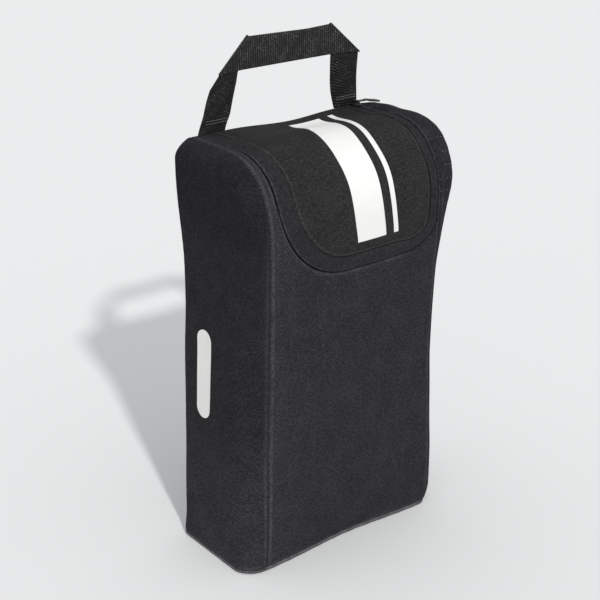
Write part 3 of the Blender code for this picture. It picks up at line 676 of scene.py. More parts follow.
M_METAL = metal_material("zip_metal")
M_RUBBER = rubber_material("pull_tab")
M_PRINT = print_material("print_film")
M_LABEL = label_material("care_label")
M_THREAD = thread_material("thread_black", rgb(0.014, 0.014, 0.015))
M_THREAD_GREY = thread_material("thread_grey", rgb(0.11, 0.11, 0.112))
M_THREAD_DIM = thread_material("thread_dim", rgb(0.062, 0.062, 0.064))

# ---- front panel ------------------------------------------------------------------------------------

S_TOP_END = s_at_top(Y_BACK - WALL - GAP)
LOW_S = 0.0028
ZIP, ZIP_N = zip_line(S_TOP_END)
ZIP_N = inward(ZIP, ZIP_N)
CUT = ZIP - ZIP_N * 0.0005
SIDE, CORNER, BOTTOM = 130, 80, 60


def rim_line():
    s_r, s_l = CUT_S + RIGHT_RS, CUT_S + LEFT_RS
    pts = []
    s = S_TOP_END + (s_r - S_TOP_END) * np.arange(SIDE) / SIDE
    pts.append(np.column_stack([np.full(SIDE, EDGE_X), s]))
    s = s_r + (LOW_S - s_r) * np.arange(CORNER) / CORNER
    pts.append(np.column_stack([np.full(CORNER, EDGE_X), s]))
    x = np.linspace(EDGE_X, -EDGE_X, BOTTOM + 1)
    pts.append(np.column_stack([x, np.full(BOTTOM + 1, LOW_S)]))
    s = LOW_S + (s_l - LOW_S) * np.arange(1, CORNER + 1) / CORNER
    pts.append(np.column_stack([np.full(CORNER, -EDGE_X), s]))
    s = s_l + (S_TOP_END - s_l) * np.arange(1, SIDE + 1) / SIDE
    pts.append(np.column_stack([np.full(SIDE, -EDGE_X), s]))
    return np.vstack(pts)


ROWS = 64
RIM = rim_line()
k = (1 - np.cos(math.pi * np.arange(ROWS + 1) / ROWS)) / 2
flat = RIM[None] * (1 - k[:, None, None]) + CUT[None] * k[:, None, None]
x, s = flat[..., 0], flat[..., 1]
d_side, d_low = EDGE_X - np.abs(x), s - LOW_S
d_cut = np.linalg.norm(flat - CUT[None], axis=-1)


def strength_right(s):
    """Gathers are strongest where the wrap turns over the top on the right."""
    return 0.00014 + 0.00022 * np.exp(-(((s - 0.310) / 0.035) ** 2))


h = pinch(d_side) + pinch(d_low, 0.0013, 0.0022)
near_cut = smooth((d_cut - 0.001) / 0.005)
h = h + near_cut * np.where(x > 0, pucker(d_side, s, strength_right(s), 7, 0.0105, 0.005), pucker(d_side, s, 0.00022, 19, 0.0090, 0.006))
h = h + pucker(d_low, x + 0.3, 0.00018, 29, 0.0110, 0.007)
h = h - 0.0007 * np.clip(1 - d_cut / 0.0015, 0, 1) ** 2
# a lighter line along the side and foot seams and along the zip cut: partly wear, partly a painted highlight on the
# turned edges; left out along the cut on the right
wear_and_highlight = np.clip(1 - np.minimum(np.minimum(np.abs(d_side - 0.0022), np.abs(d_low - 0.002)), np.abs(d_cut - 0.0012) + 0.003 * smooth((x - 0.045) / 0.02)) / 0.0018, 0, 1)
front = shell("front_panel_shell", drape(wrap(x, s, h)), drape(wrap(x, s, np.minimum(h, 0) - WALL)), [M_FRONT, M_COAT], flat, wear_and_highlight, 0.01)
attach(front, "bag")
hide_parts("front_panel")
# painted shade: the cloth over the top of the bag is made darker, as less light falls on it from above
TOP_PAINTED_SHADE = lambda x, y, z: 1 - 0.22 * smooth((z - 0.328) / 0.012) * smooth((y + 0.02) / 0.03)
# painted highlight: the front is made lighter next to its left seam, where the rounded corner faces the light; painted
# shade on top
set_painted_shading(front, lambda x, y, z: (1 + 0.27 * np.exp(-(x + 0.085) / 0.022)) * TOP_PAINTED_SHADE(x, y, z))

# ---- gussets ------------------------------------------------------------------------------------------

OUT_BULGE = table([(0.0, 0.0196), (0.03, 0.0184), (0.124, 0.0158), (0.212, 0.0122), (0.250, 0.0128), (0.280, 0.0150), (0.313, 0.0182), (0.343, 0.0185)], 0.014)


def line_distance(y, z, inset=0.0):
    line = LINE - OUT * inset
    p = np.stack([y, z], axis=-1).reshape(-1, 2)
    out = np.empty(len(p))
    near = np.empty(len(p), int)
    for i in range(0, len(p), 2000):
        q = p[i:i + 2000]
        k = ((q[:, None] - line[None]) ** 2).sum(-1).argmin(1)
        best = np.full(len(q), 1.0)
        for j in (k - 1, k):
            j = np.clip(j, 0, len(line) - 2)
            a, b = line[j], line[j + 1]
            f = np.clip(((q - a) * (b - a)).sum(1) / ((b - a) ** 2).sum(1), 0, 1)
            best = np.minimum(best, np.linalg.norm(a + (b - a) * f[:, None] - q, axis=1))
        near[i:i + 2000] = k
        out[i:i + 2000] = np.clip(best - 0.00002, 0, None)
    return out.reshape(y.shape), near.reshape(y.shape)


def rounded(d, reach):
    return np.sqrt(1 - (1 - np.clip(d / reach, 0, 1)) ** 2)


def eased(d, reach):
    return 1 - (1 - np.clip(d / reach, 0, 1)) ** 2.2


def bulge(y, z, inset=0.0, side=-1):
    """How far a gusset stands out: full along the top and the back, easier along the front seam."""
    d, _ = line_distance(y, z, inset)
    back = np.clip(Y_BACK - inset - y, 0, None)
    top = smooth((z - 0.225) / 0.080)
    low = smooth((0.070 - z) / 0.070) if side < 0 else 0 * z
    full = rounded(d, 0.012 if side < 0 else 0.0055)
    shape = (1 - top) * ((1 - low) * eased(d, 0.036) + low * rounded(d, 0.017)) + top * full
    fuller = 0.0022 * smooth((0.024 - z) / 0.024) if side < 0 else -0.0022 * np.exp(-(((z - 0.272) / 0.030) ** 2))
    return np.clip((OUT_BULGE(z) + fuller - inset) * shape * rounded(back, 0.010), 0, None)


def gusset_yz(cols, rows, inset):
    w = (1 - np.cos(math.pi * np.arange(cols + 1) / cols)) / 2
    r = 1 - (1 - np.arange(rows + 1) / rows) ** 1.35
    W, R = np.meshgrid(w, r)
    y_top = Y_FRONT_HIGH + inset + (Y_BACK - Y_FRONT_HIGH - 2 * inset) * W
    top = top_z(y_top) - inset * smooth((y_top - Y_FRONT_HIGH) / 0.02)
    top[:, 0] = Z_CURVE
    z = LOW_S + (top - LOW_S) * R
    f = front_y(z) + inset
    y = f + (Y_BACK - inset - f) * W
    return y, z


def gusset_surface(side, y, z, inset=0.0):
    """A gusset's outer face before its seams: points at (y, z)."""
    x0 = SEAM_X + GAP / 2
    b = bulge(y, z, inset, side)
    d, near = line_distance(y, z, inset)
    back = Y_BACK - inset - y
    low = z - LOW_S
    s = LINE_S[near]
    strength = strength_right(s) if side > 0 else np.full_like(s, 0.00022)
    ripple = pucker(d, s, strength * smooth(d / 0.002), 7 if side > 0 else 19, 0.0105 if side > 0 else 0.0090, 0.007)
    ripple = ripple + pucker(back, z, 0.00020, 41, 0.0120, 0.006) * smooth(back / 0.002)
    # one soft hollow and a slack fold low down, as in a bag that stands on its own
    hollow = -0.0016 * np.exp(-(((y - 0.010) / 0.030) ** 2) - (((z - 0.225) / 0.060) ** 2))
    hollow += 0.0010 * np.exp(-(((y + 0.012 + (z - 0.10) * 0.3) / 0.012) ** 2)) * np.exp(-(((z - 0.09) / 0.07) ** 2))
    px = side * (x0 + b + (hollow + ripple) * smooth(b / 0.006))
    py, pz = y.copy(), z.copy()
    nip = np.clip(1 - b / 0.0026, 0, 1) ** 2
    py = py - OUT[near, 0] * 0.0014 * nip * (d < 0.02) * (back > 0.004)
    pz = pz - OUT[near, 1] * 0.0014 * nip * (d < 0.02) * (back > 0.004)
    py = py - 0.0012 * np.clip(1 - back / 0.0016, 0, 1) ** 2
    px = px - side * 0.0007 * np.clip(1 - low / 0.0024, 0, 1) ** 2
    if side > 0:
        # the right gusset's shoulder swells past its seam
        swell = 0.0015 * smooth(b / 0.007) * np.exp(-d / 0.006) * smooth((z - 0.300) / 0.035) * smooth((0.0545 - y) / 0.010)
        py = py + OUT[near, 0] * swell
        pz = pz + OUT[near, 1] * swell
    # a lighter line along the seams: partly wear, partly a painted highlight on the turned edges
    edge = np.clip(1 - np.minimum(np.minimum(np.abs(b - 0.0016), np.abs(back - 0.002)), np.abs(low - 0.002)) / 0.0018, 0, 1)
    return np.stack([px, py, pz], axis=-1), edge


for side, name in ((-1, "left"), (1, "right")):
    y, z = gusset_yz(110, 170, 0.0)
    outer, edge = gusset_surface(side, y, z)
    for line in (outer[-1], outer[:, 0], outer[:, -1]):
        line[:, 0] = side * (SEAM_X + GAP / 2)
    # the coating lies one cloth's thickness behind the face, and its rim that much further in
    normal = np.cross(np.gradient(outer, axis=0), np.gradient(outer, axis=1))
    normal = normal / (np.linalg.norm(normal, axis=2, keepdims=True) + 1e-12)
    normal = normal * np.sign(side * normal[..., :1].mean())
    inner = outer - normal * WALL
    for line, face in ((inner[-1], outer[-1]), (inner[:, 0], outer[:, 0]), (inner[:, -1], outer[:, -1])):
        inward = np.array([0.0, 0.170]) - face[:, 1:]
        line[:, 0] = face[:, 0]
        line[:, 1:] = face[:, 1:] + inward / np.linalg.norm(inward, axis=1, keepdims=True) * WALL
    along = np.concatenate([np.zeros((1, outer.shape[1])), np.cumsum(np.linalg.norm(np.diff(outer, axis=0), axis=2), axis=0)])
    across = np.concatenate([np.zeros((outer.shape[0], 1)), np.cumsum(np.linalg.norm(np.diff(outer, axis=1), axis=2), axis=1)], axis=1)
    across = across - across[:, 55:56]
    g = shell(f"gusset_{name}_shell", drape(outer), drape(inner), [M_SIDE_SHADED, M_COAT], np.stack([across, along], axis=-1), edge, 0.03 * side)
    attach(g, "bag")
    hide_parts(f"side_panel_{name}")
    # painted light and shade: the gussets are made lighter low down, where light comes up off the floor, and the left
    # one darker near the top
    set_painted_shading(g, lambda x, y, z: 1 + 0.42 * smooth((0.150 - z) / 0.100) - 0.26 * smooth((z - 0.255) / 0.045) * (1 if side < 0 else 0))

# ---- back panel -------------------------------------------------------------------------------------------

cols, rows = 90, 130
w = (1 - np.cos(math.pi * np.arange(cols + 1) / cols)) / 2
r = (1 - np.cos(math.pi * np.arange(rows + 1) / rows)) / 2
W, R = np.meshgrid(w, r)
x, z = -EDGE_X + 2 * EDGE_X * W, LOW_S + (BAG_HEIGHT - 0.0003 - LOW_S) * R
d = np.minimum(EDGE_X - np.abs(x), np.minimum(z - LOW_S, BAG_HEIGHT - z))
soft = smooth(d / 0.035)
out = 0.0018 * soft * (1 - (x / SEAM_X) ** 2) + 0.0007 * soft * vnoise(np.stack([x / 0.05, z / 0.07, x * 0 + 4], axis=-1), 77)
out = out + pinch(EDGE_X - np.abs(x)) + pinch(z - LOW_S, 0.0013, 0.0022) + pinch(BAG_HEIGHT - z, 0.0008, 0.003)
out = out + pucker(EDGE_X - np.abs(x), z, 0.00020, 55, 0.0100, 0.006) + pucker(BAG_HEIGHT - z, x + 0.4, 0.00025, 57, 0.0130, 0.008) * smooth((BAG_HEIGHT - z) / 0.002)
# a lighter line just inside the seams: partly wear, partly a painted highlight on the turned edges
edge = np.clip(1 - np.abs(d - 0.002) / 0.0018, 0, 1)
back = shell("back_panel_shell", drape(np.stack([x, Y_BACK + out, z], axis=-1)), drape(np.stack([x, Y_BACK - WALL + np.minimum(out, 0.0012), z], axis=-1)), [M_FRONT, M_COAT], np.stack([x, z], axis=-1), edge, 0.07)
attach(back, "bag")
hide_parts("back_panel")

# ---- bottom -----------------------------------------------------------------------------------------------


def footprint(count=240):
    """The outline of the foot, from above, anticlockwise, with rounded corners."""
    y = Y_FRONT_LOW + (Y_BACK - Y_FRONT_LOW) * (1 - np.cos(math.pi * np.arange(61) / 60)) / 2
    right = np.column_stack([SEAM_X + bulge(y, np.full_like(y, LOW_S), 0.0, 1), y])
    left = np.column_stack([-SEAM_X - bulge(y, np.full_like(y, LOW_S), 0.0, -1), y])
    p = np.vstack([right, left[::-1]])
    d = np.concatenate([[0], np.cumsum(np.linalg.norm(np.diff(np.vstack([p, p[:1]]), axis=0), axis=1))])
    t = np.linspace(0, d[-1], count, endpoint=False)
    q = np.vstack([p, p[:1]])
    return np.column_stack([np.interp(t, d, q[:, 0]), np.interp(t, d, q[:, 1])])


FOOT = footprint()
centre = np.array([0.0, (Y_FRONT_LOW + Y_BACK) / 2])
profile = [(0.0, 0.0), (0.30, 0.0), (0.60, 0.0), (0.80, 0.0), (0.90, 0.0), (0.95, 0.0), (0.975, 0.0001), (0.988, 0.0005), (0.996, 0.0013), (1.000, 0.0022), (0.999, 0.0030), (0.993, 0.0036),
           (0.985, 0.0036), (0.978, 0.0030), (0.970, 0.0024), (0.94, 0.0021), (0.80, 0.0020), (0.5, 0.0020), (0.0, 0.0020)]
rings, flats = [], []
for f, zz in profile:
    f = max(f, 0.002)
    p = centre + (FOOT - centre) * f
    q = np.column_stack([p, np.full(len(p), zz)])
    lift = np.clip((f - 0.97) / 0.03, 0, 1)
    q[:, 2] += 0.0005 * lift * np.sin(np.arange(len(p)) * 0.9) * 0.4
    rings.append(drape(q))
    flats.append(np.column_stack([p, np.full(len(p), 0.09)]))
rings, flats = np.array(rings), np.array(flats)
rings[..., 2] = np.maximum(rings[..., 2], 0.0)
base_edge = np.repeat(np.array([1.0 if f > 0.985 and z > 0.0009 else 0.0 for f, z in profile]), len(FOOT))
bottom = tube("bottom_shell", rings, [M_BASE], flats, base_edge, sharp=50)
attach(bottom, "bag")
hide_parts("bottom_panel")

# ---- lid panel and band --------------------------------------------------------------------------------------

LID_OUT = ZIP + ZIP_N * (0.0005 + 0.0012 * smooth((ZIP[:, :1] - 0.045) / 0.030))
LID_IN = LID_OUT + ZIP_N * band_width(LID_OUT)[:, None]


def inner_shape(x):
    """The s of the lid panel's lower edge over x."""
    low = LID_IN[SIDE:-SIDE]
    order = np.argsort(low[:, 0])
    return np.interp(x, low[order, 0], low[order, 1])


def lid_relief(x, s):
    """How the padded lid stands above the wrap's line, away from the band's seam."""
    flat = np.stack([x, s], axis=-1)
    d = distance_field(flat.reshape(-1, 2), LID_IN).reshape(x.shape)
    d = np.maximum(d, 0)
    return pinch(d, 0.0013, 0.0020) + 0.0007 * (1 - np.exp(-np.clip(d - 0.0015, 0, None) / 0.007)) + pucker(d, x + s, 0.00016, 63, 0.0080, 0.005), d


cols, rows = 110, 120
w = (1 - np.cos(math.pi * np.arange(cols + 1) / cols)) / 2
r = 1 - np.cos(math.pi / 2 * np.arange(rows + 1) / rows)
right_x, left_x = LID_IN[:, 0].max(), LID_IN[:, 0].min()
W, R = np.meshgrid(w, r)


def side_limits(s):
    """The x of the lid panel's right and left edges at s."""
    right, left = LID_IN[:SIDE + CORNER], LID_IN[-SIDE - CORNER:]
    a = np.argsort(right[:, 1])
    b = np.argsort(left[:, 1])
    return np.interp(s, right[a, 1], right[a, 0]), np.interp(s, left[b, 1], left[b, 0])


# columns follow the U's lower edge, squeezed to its sides higher up
s_low = inner_shape(left_x + (right_x - left_x) * W[0])
x_low = left_x + (right_x - left_x) * W[0]
S = s_low[None] + (S_TOP_END - s_low[None]) * R
rt, lt = side_limits(S)
X = np.clip(np.broadcast_to(x_low[None], S.shape), lt, rt)
X[:, 0], X[:, -1] = lt[:, 0], rt[:, -1]
relief, d_in = lid_relief(X, S)
lid_flat = np.stack([X, S], axis=-1)
# a lighter line beside the band's seam: partly wear, partly a painted highlight where the lid puffs up
edge = np.clip(1 - np.abs(d_in - 0.0016) / 0.0016, 0, 1)
lid = shell("lid_panel_shell", drape(wrap(X, S, relief)), drape(wrap(X, S, np.minimum(relief, 0) - WALL)), [M_LID, M_COAT], lid_flat, edge, 0.11)
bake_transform(lid)
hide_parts("lid_panel", "lid_hinge_strip")
set_painted_shading(lid, TOP_PAINTED_SHADE)

# the band: one folded strip, rounded at its outer edge, sewn down at its inner edge
line, nrm, run = even_line(LID_OUT, ZIP_N, 420)
width = band_width(line)
section = [(1.000, -1.15), (0.985, -0.55), (0.955, -0.05), (0.90, 0.22), (0.80, 0.40), (0.62, 0.52), (0.42, 0.55), (0.24, 0.52), (0.13, 0.42), (0.065, 0.22),
           (0.025, -0.10), (0.004, -0.55), (0.000, -1.05), (0.010, -1.55), (0.040, -1.90), (0.09, -2.05), (0.30, -2.10), (0.60, -2.10), (0.90, -2.10), (1.0, -2.0)]
rings, flats, rim_wear_and_highlight = [], [], []
pk = pucker(np.zeros(len(line)), run, 0.00014, 81, 0.0078, 0.004)
for f, hh in section:
    p = line + nrm * (width * f)[:, None]
    lift = np.full(len(line), hh * MM) + (pk * (1 if hh > -1.3 else 0.3))
    lift = lift + 0.00035 * vnoise(np.column_stack([run / 0.018, np.full(len(run), f * 1.3), run * 0]), 91) * (hh > -1.3)
    rings.append(drape(wrap(p[:, 0], p[:, 1], lift)))
    flats.append(np.column_stack([run, f * width, np.full(len(run), 0.13)]))
    # the band's rounded outer edge is lighter: partly wear, partly a painted highlight on the roll, left out on the
    # right
    rim_wear_and_highlight.append((1.0 if 0.0 <= f <= 0.10 and hh > -1.0 else 0.0) * (1 - smooth((line[:, 0] - 0.045) / 0.02)))
rings = np.array(rings).transpose(1, 0, 2)
flats = np.array(flats).transpose(1, 0, 2)
band = tube("lid_border_band", rings, [M_BAND], flats, np.array(rim_wear_and_highlight).T.ravel(), sharp=None)
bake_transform(band)
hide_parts("lid_border")
set_painted_shading(band, TOP_PAINTED_SHADE)


# ---- stitches -------------------------------------------------------------------------------------------------


def stitch_row(name, starts, ends, ups, radius, finish, sag=0.35):
    """A row of thread stitches, each a small arched capsule from start to end."""
    around, along = 6, 6
    verts, faces, flats = [], [], []
    for n, (a, b, up) in enumerate(zip(starts, ends, ups)):
        a, b, up = np.array(a), np.array(b), np.array(up)
        t = b - a
        length = np.linalg.norm(t)
        t = t / length
        side = np.cross(t, up)
        side /= np.linalg.norm(side)
        up = np.cross(side, t)
        base = len(verts)
        for i in range(along):
            f = i / (along - 1)
            r = radius * (0.35 + 0.65 * math.sin(math.pi * min(max(f, 0.06), 0.94)) ** 0.5)
            c = a + t * length * f + up * radius * (math.sin(math.pi * f) - sag)
            for k in range(around):
                q = 2 * math.pi * k / around
                verts.append(c + (side * math.cos(q) + up * math.sin(q)) * r)
                flats.append((n * 0.01 + f * length, r * q, 0.0))
        for i in range(along - 1):
            for k in range(around):
                k2 = (k + 1) % around
                faces.append((base + i * around + k, base + i * around + k2, base + (i + 1) * around + k2, base + (i + 1) * around + k))
        faces.append(tuple(base + k for k in range(around))[::-1])
        faces.append(tuple(base + (along - 1) * around + k for k in range(around)))
    return new_mesh(name, np.array(verts), faces, [finish], np.array(flats))


def stitches_on_wrap(name, points, height, gap=0.0011, length=0.0026, radius=0.00022, finish=None):
    """Stitches that follow flat points (x, s) at a height function."""
    d = np.concatenate([[0], np.cumsum(np.linalg.norm(np.diff(points, axis=0), axis=1))])
    t = np.arange(0.002, d[-1] - 0.004, gap + length)
    def at(t):
        px, ps = np.interp(t, d, points[:, 0]), np.interp(t, d, points[:, 1])
        return px, ps
    ax, as_ = at(t)
    bx, bs = at(t + length)
    a = drape(wrap(ax, as_, height(ax, as_)))
    b = drape(wrap(bx, bs, height(bx, bs)))
    up = wrap(ax, as_, np.full(len(ax), 0.001)) - wrap(ax, as_, np.zeros(len(ax)))
    return stitch_row(name, a, b, up, radius, finish or M_THREAD)


seam_in = LID_IN + ZIP_N * 0.0021
st = stitches_on_wrap("lid_stitches", seam_in[6:-6], lambda x, s: lid_relief(x, s)[0] + 0.00010)
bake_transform(st)

starts, ends, ups = [], [], []
for s_at in (0.2830, 0.2935, 0.3030, 0.3135, 0.3240, 0.3350):
    y_at, z_in = np.interp(s_at, LINE_S, LINE[:, 0]), np.interp(s_at, LINE_S, LINE[:, 1])
    oy, oz = np.interp(s_at, LINE_S, OUT[:, 0]), np.interp(s_at, LINE_S, OUT[:, 1])
    depth = np.array([0.0003, 0.0006, 0.0011, 0.0016])
    cross, _ = gusset_surface(1, y_at - oy * depth, z_in - oz * depth)
    line = np.vstack([wrap(np.array([0.0836, 0.0847]), s_at, np.zeros(2)), cross + np.array([0.5, oy, oz])[None] * 0.0004])
    line = drape(line)
    for i in (0, 2, 4):
        starts.append(line[i])
        ends.append(line[i] * 0.15 + line[i + 1] * 0.85)
        ups.append(np.array([0.35, oy, oz]))
seam_tacks = stitch_row("seam_tack_stitches", starts, ends, ups, 0.00020, M_THREAD_DIM)
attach(seam_tacks, "bag")

# ---- lining and zip ---------------------------------------------------------------------------------------------

S_LID_END = s_at_top(Y_HINGE - 0.0004)


def u_strip(name, offset_a, offset_b, h_top, h_low, finish, seed, s_from=None, count=300, cols=4):
    """A flat strip along the zip line, from offset_a to offset_b inward of it."""
    p, n, t = even_line(ZIP, ZIP_N, count)
    keep = p[:, 1] <= (s_from or S_TOP_END)
    p, n, t = p[keep], n[keep], t[keep]
    f = np.linspace(0, 1, cols + 1)
    off = offset_a + (offset_b - offset_a) * f
    fl = p[None] + n[None] * off[:, None, None]
    wave = 0.00012 * np.sin(t / 0.0035)[None] * np.sin(math.pi * f)[:, None]
    outer = drape(wrap(fl[..., 0], fl[..., 1], h_top + wave))
    inner = drape(wrap(fl[..., 0], fl[..., 1], h_low + wave))
    flat = np.stack([np.broadcast_to(off[:, None], wave.shape), np.broadcast_to(t[None], wave.shape)], axis=-1)
    return shell(name, outer, inner, [finish], flat, None, seed)


tape_lid = u_strip("zip_tape_lid_strip", 0.0024, 0.0130, -0.0026, -0.0031, M_TAPE, 0.15, S_LID_END)
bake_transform(tape_lid)
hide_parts("zip_tape_lid")
tape_body = u_strip("zip_tape_body_strip", -0.0027, -0.0067, -0.0026, -0.0031, M_TAPE, 0.17, s_at_top(0.0505))
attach(tape_body, "bag")
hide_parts("zip_tape_body")


def coil(name, sign, pitch=0.00125):
    """One side of the coil: nylon loops that bend round the middle of the zip."""
    p, n, t = even_line(ZIP, ZIP_N, 2400)
    keep = p[:, 1] <= (S_LID_END if sign > 0 else s_at_top(0.0490))
    p, n, t = p[keep], n[keep], t[keep]
    at = np.arange(t[0] + 0.0005, t[-1] - 0.0005, pitch) + (pitch / 2 if sign < 0 else 0)
    around, r = 6, 0.00034
    path = [(2.5, -0.30), (1.6, -0.30), (0.75, -0.34), (0.28, -0.55), (0.22, -0.85), (0.55, -1.10), (1.4, -1.15), (2.5, -1.15)]
    verts, faces, flats = [], [], []
    for q in at:
        c = np.array([np.interp(q, t, p[:, 0]), np.interp(q, t, p[:, 1])])
        m = np.array([np.interp(q, t, n[:, 0]), np.interp(q, t, n[:, 1])])
        m /= np.linalg.norm(m)
        along = np.array([-m[1], m[0]])
        base = len(verts)
        loops = []
        for i, (o, hh) in enumerate(path):
            a = np.array(path[max(i - 1, 0)], float)
            b = np.array(path[min(i + 1, len(path) - 1)], float)
            tangent = (b - a) / np.linalg.norm(b - a)
            perp = np.array([-tangent[1], tangent[0]])
            for k in range(around):
                w = 2 * math.pi * k / around
                oo = o * MM + perp[0] * r * math.cos(w)
                hv = -0.0026 + (hh + 0.35) * MM + perp[1] * r * math.cos(w)
                fx = c + m * sign * oo + along * r * math.sin(w) * (1.25 if i in (3, 4) else 1.0)
                loops.append((fx[0], fx[1], hv))
        verts += loops
        for i in range(len(path) - 1):
            for k in range(around):
                k2 = (k + 1) % around
                faces.append((base + i * around + k, base + i * around + k2, base + (i + 1) * around + k2, base + (i + 1) * around + k))
        faces.append(tuple(base + k for k in range(around))[::-1])
        faces.append(tuple(base + (len(path) - 1) * around + k for k in range(around)))
    v = np.array(verts)
    pts = drape(wrap(v[:, 0], v[:, 1], v[:, 2]))
    return new_mesh(name, pts, faces, [M_COIL], v)


coil_lid = coil("zip_coil_lid", 1)
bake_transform(coil_lid)
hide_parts("zip_teeth_lid")
coil_body = coil("zip_coil_body", -1)
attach(coil_body, "bag")
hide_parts("zip_teeth_body")

# the lid's lining: a loose sheet under the lid panel, with soft creases
cols, rows = 60, 60
LN = ZIP + ZIP_N * 0.0138
low = LN[SIDE:-SIDE]
order = np.argsort(low[:, 0])
w = (1 - np.cos(math.pi * np.arange(cols + 1) / cols)) / 2
x_low = LN[:, 0].min() + (LN[:, 0].max() - LN[:, 0].min()) * w
s_low = np.interp(x_low, low[order, 0], low[order, 1])
R = np.arange(rows + 1)[:, None] / rows
S = s_low[None] + (S_LID_END - s_low[None]) * R
a, b = LN[:SIDE + CORNER], LN[-SIDE - CORNER:]
ra, rb = np.argsort(a[:, 1]), np.argsort(b[:, 1])
X = np.clip(np.broadcast_to(x_low[None], S.shape), np.interp(S, b[rb, 1], b[rb, 0]), np.interp(S, a[ra, 1], a[ra, 0]))
crease = 0.0005 * vnoise(np.stack([X / 0.018, S / 0.030, X * 0 + 2], axis=-1), 101) + 0.0003 * vnoise(np.stack([X / 0.009, S / 0.010, X * 0 + 5], axis=-1), 103)
edge_fade = smooth((S_LID_END - S) / 0.01) * smooth((X - x_low.min()) / 0.01) * smooth((x_low.max() - X) / 0.01)
hh = -0.0035 + crease * edge_fade - 0.0004 * edge_fade
lining = shell("lid_lining_sheet", drape(wrap(X, S, hh)), drape(wrap(X, S, hh - 0.0005)), [M_LINING], np.stack([X, S], axis=-1), None, 0.19)
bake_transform(lining)
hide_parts("lid_lining")

# ---- prints ------------------------------------------------------------------------------------------------------


BOW = table([(0.262, 0.0), (0.270, 0.0), (0.285, -0.0035), (0.301, -0.0068), (0.340, -0.0068), (0.362, -0.0030), (0.390, 0.0030), (0.413, 0.0060), (0.42, 0.0065)], 0.008)


def lid_band(name, x_low, x_high, s_low, s_high, shift):
    rows, cols = 150, 24
    f = np.arange(rows + 1) / rows
    c = np.arange(cols + 1) / cols
    C, F = np.meshgrid(c, f)
    S = s_low + (s_high - s_low) * F
    X = x_low + (x_high - x_low) * C + BOW(S)
    rel, _ = lid_relief(X, S)
    d = np.minimum(np.minimum(C, 1 - C) * (x_high - x_low), np.minimum(F, 1 - F) * (s_high - s_low))
    wear_and_highlight = np.clip(1 - d / 0.0012, 0, 1)
    o = shell(name, drape(wrap(X, S, rel + 0.00016)), drape(wrap(X, S, rel + 0.00003)), [M_PRINT], np.stack([X, S], axis=-1), wear_and_highlight, 0.11, 30)
    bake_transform(o)
    return o


S_BAND_LOW, S_BAND_HIGH = 0.2700, s_at_top(0.0397)
for name, x0, x1 in (("wide", -0.0045, 0.0255), ("narrow", 0.0345, 0.0395)):
    o = lid_band(f"lid_band_{name}_film", x0, x1, S_BAND_LOW, S_BAND_HIGH, 0.006)
    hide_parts(f"lid_band_{name}")

# the plain mark on the left gusset
rows, cols = 90, 24
zc, yc, half, wide0 = 0.158, 0.0212, 0.038, 0.0090
f = -1 + 2 * np.arange(rows + 1) / rows
zz = zc + half * np.sin(f * math.pi / 2 * 0.995)
past = np.clip(np.abs(zz - zc) - (half - wide0), 0, None)
wide = np.sqrt(np.clip(wide0**2 - past**2, 1e-9, None))
C = np.linspace(-1, 1, cols + 1)
Y = yc + wide[:, None] * C[None]
Z = np.broadcast_to(zz[:, None], Y.shape).copy()
surf, _ = gusset_surface(-1, Y, Z)
dy = (gusset_surface(-1, Y + 0.0004, Z)[0] - gusset_surface(-1, Y - 0.0004, Z)[0])
dz = (gusset_surface(-1, Y, Z + 0.0004)[0] - gusset_surface(-1, Y, Z - 0.0004)[0])
nn = np.cross(dz, dy)
nn /= np.linalg.norm(nn, axis=-1)[..., None]
nn *= np.where(nn[..., :1] > 0, -1, 1)
wear_and_highlight = np.clip(1 - (wide[:, None] * (1 - np.abs(C))[None]) / 0.0012, 0, 1)
mark = shell("side_mark_film", drape(surf) + nn * 0.00018, drape(surf) + nn * 0.00004, [M_PRINT], np.stack([Y, Z], axis=-1), wear_and_highlight, 0.21, 30)
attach(mark, "bag")
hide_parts("side_mark")

# ---- bindings and the label inside ------------------------------------------------------------------------------------


def binding_tube(name, centre_line, across, up, width, thick, node, seed):
    """A folded binding tape along a line: a flattened loop section."""
    m = 20
    n = len(centre_line)
    d = np.concatenate([[0], np.cumsum(np.linalg.norm(np.diff(centre_line, axis=0), axis=1))])
    rings = np.empty((n, m, 3))
    flats = np.empty((n, m, 3))
    for k in range(m):
        a = 2 * math.pi * k / m
        ca, sa = math.cos(a), math.sin(a)
        u = np.sign(ca) * abs(ca) ** 0.6 * width / 2
        v = np.sign(sa) * abs(sa) ** 0.8 * thick / 2
        ripple = 1 + 0.12 * np.sin(d / 0.0017 + k)
        rings[:, k] = centre_line + across * u + up * (v * ripple)[:, None]
        flats[:, k] = np.column_stack([np.full(n, u + (0.01 if sa < 0 else 0)), d, np.full(n, seed)])
    o = tube(name, drape(rings), [M_BIND], flats)
    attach(o, "bag")
    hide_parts(node)
    return o


for side, name in ((-1, "left"), (1, "right")):
    s = np.linspace(0.006, s_at_top(0.0467), 260)
    c = wrap(np.full(260, side * 0.0830), s, np.full(260, -0.0050))
    up = wrap(np.full(260, side * 0.0830), s, np.full(260, -0.0040)) - c
    up /= np.linalg.norm(up, axis=1)[:, None]
    binding_tube(f"seam_binding_{name}_tape", c, np.array([side, 0, 0.0])[None], up, 0.0034, 0.0011, f"seam_binding_{name}", 0.23)
    z = np.linspace(0.006, 0.330, 200)
    c = np.column_stack([np.full(200, side * 0.0824), np.full(200, 0.0511), z])
    binding_tube(f"back_binding_{name}_tape", c, np.array([side, 0, 0.0])[None], np.array([0, 1.0, 0])[None], 0.0042, 0.0011, f"back_binding_{name}", 0.25)

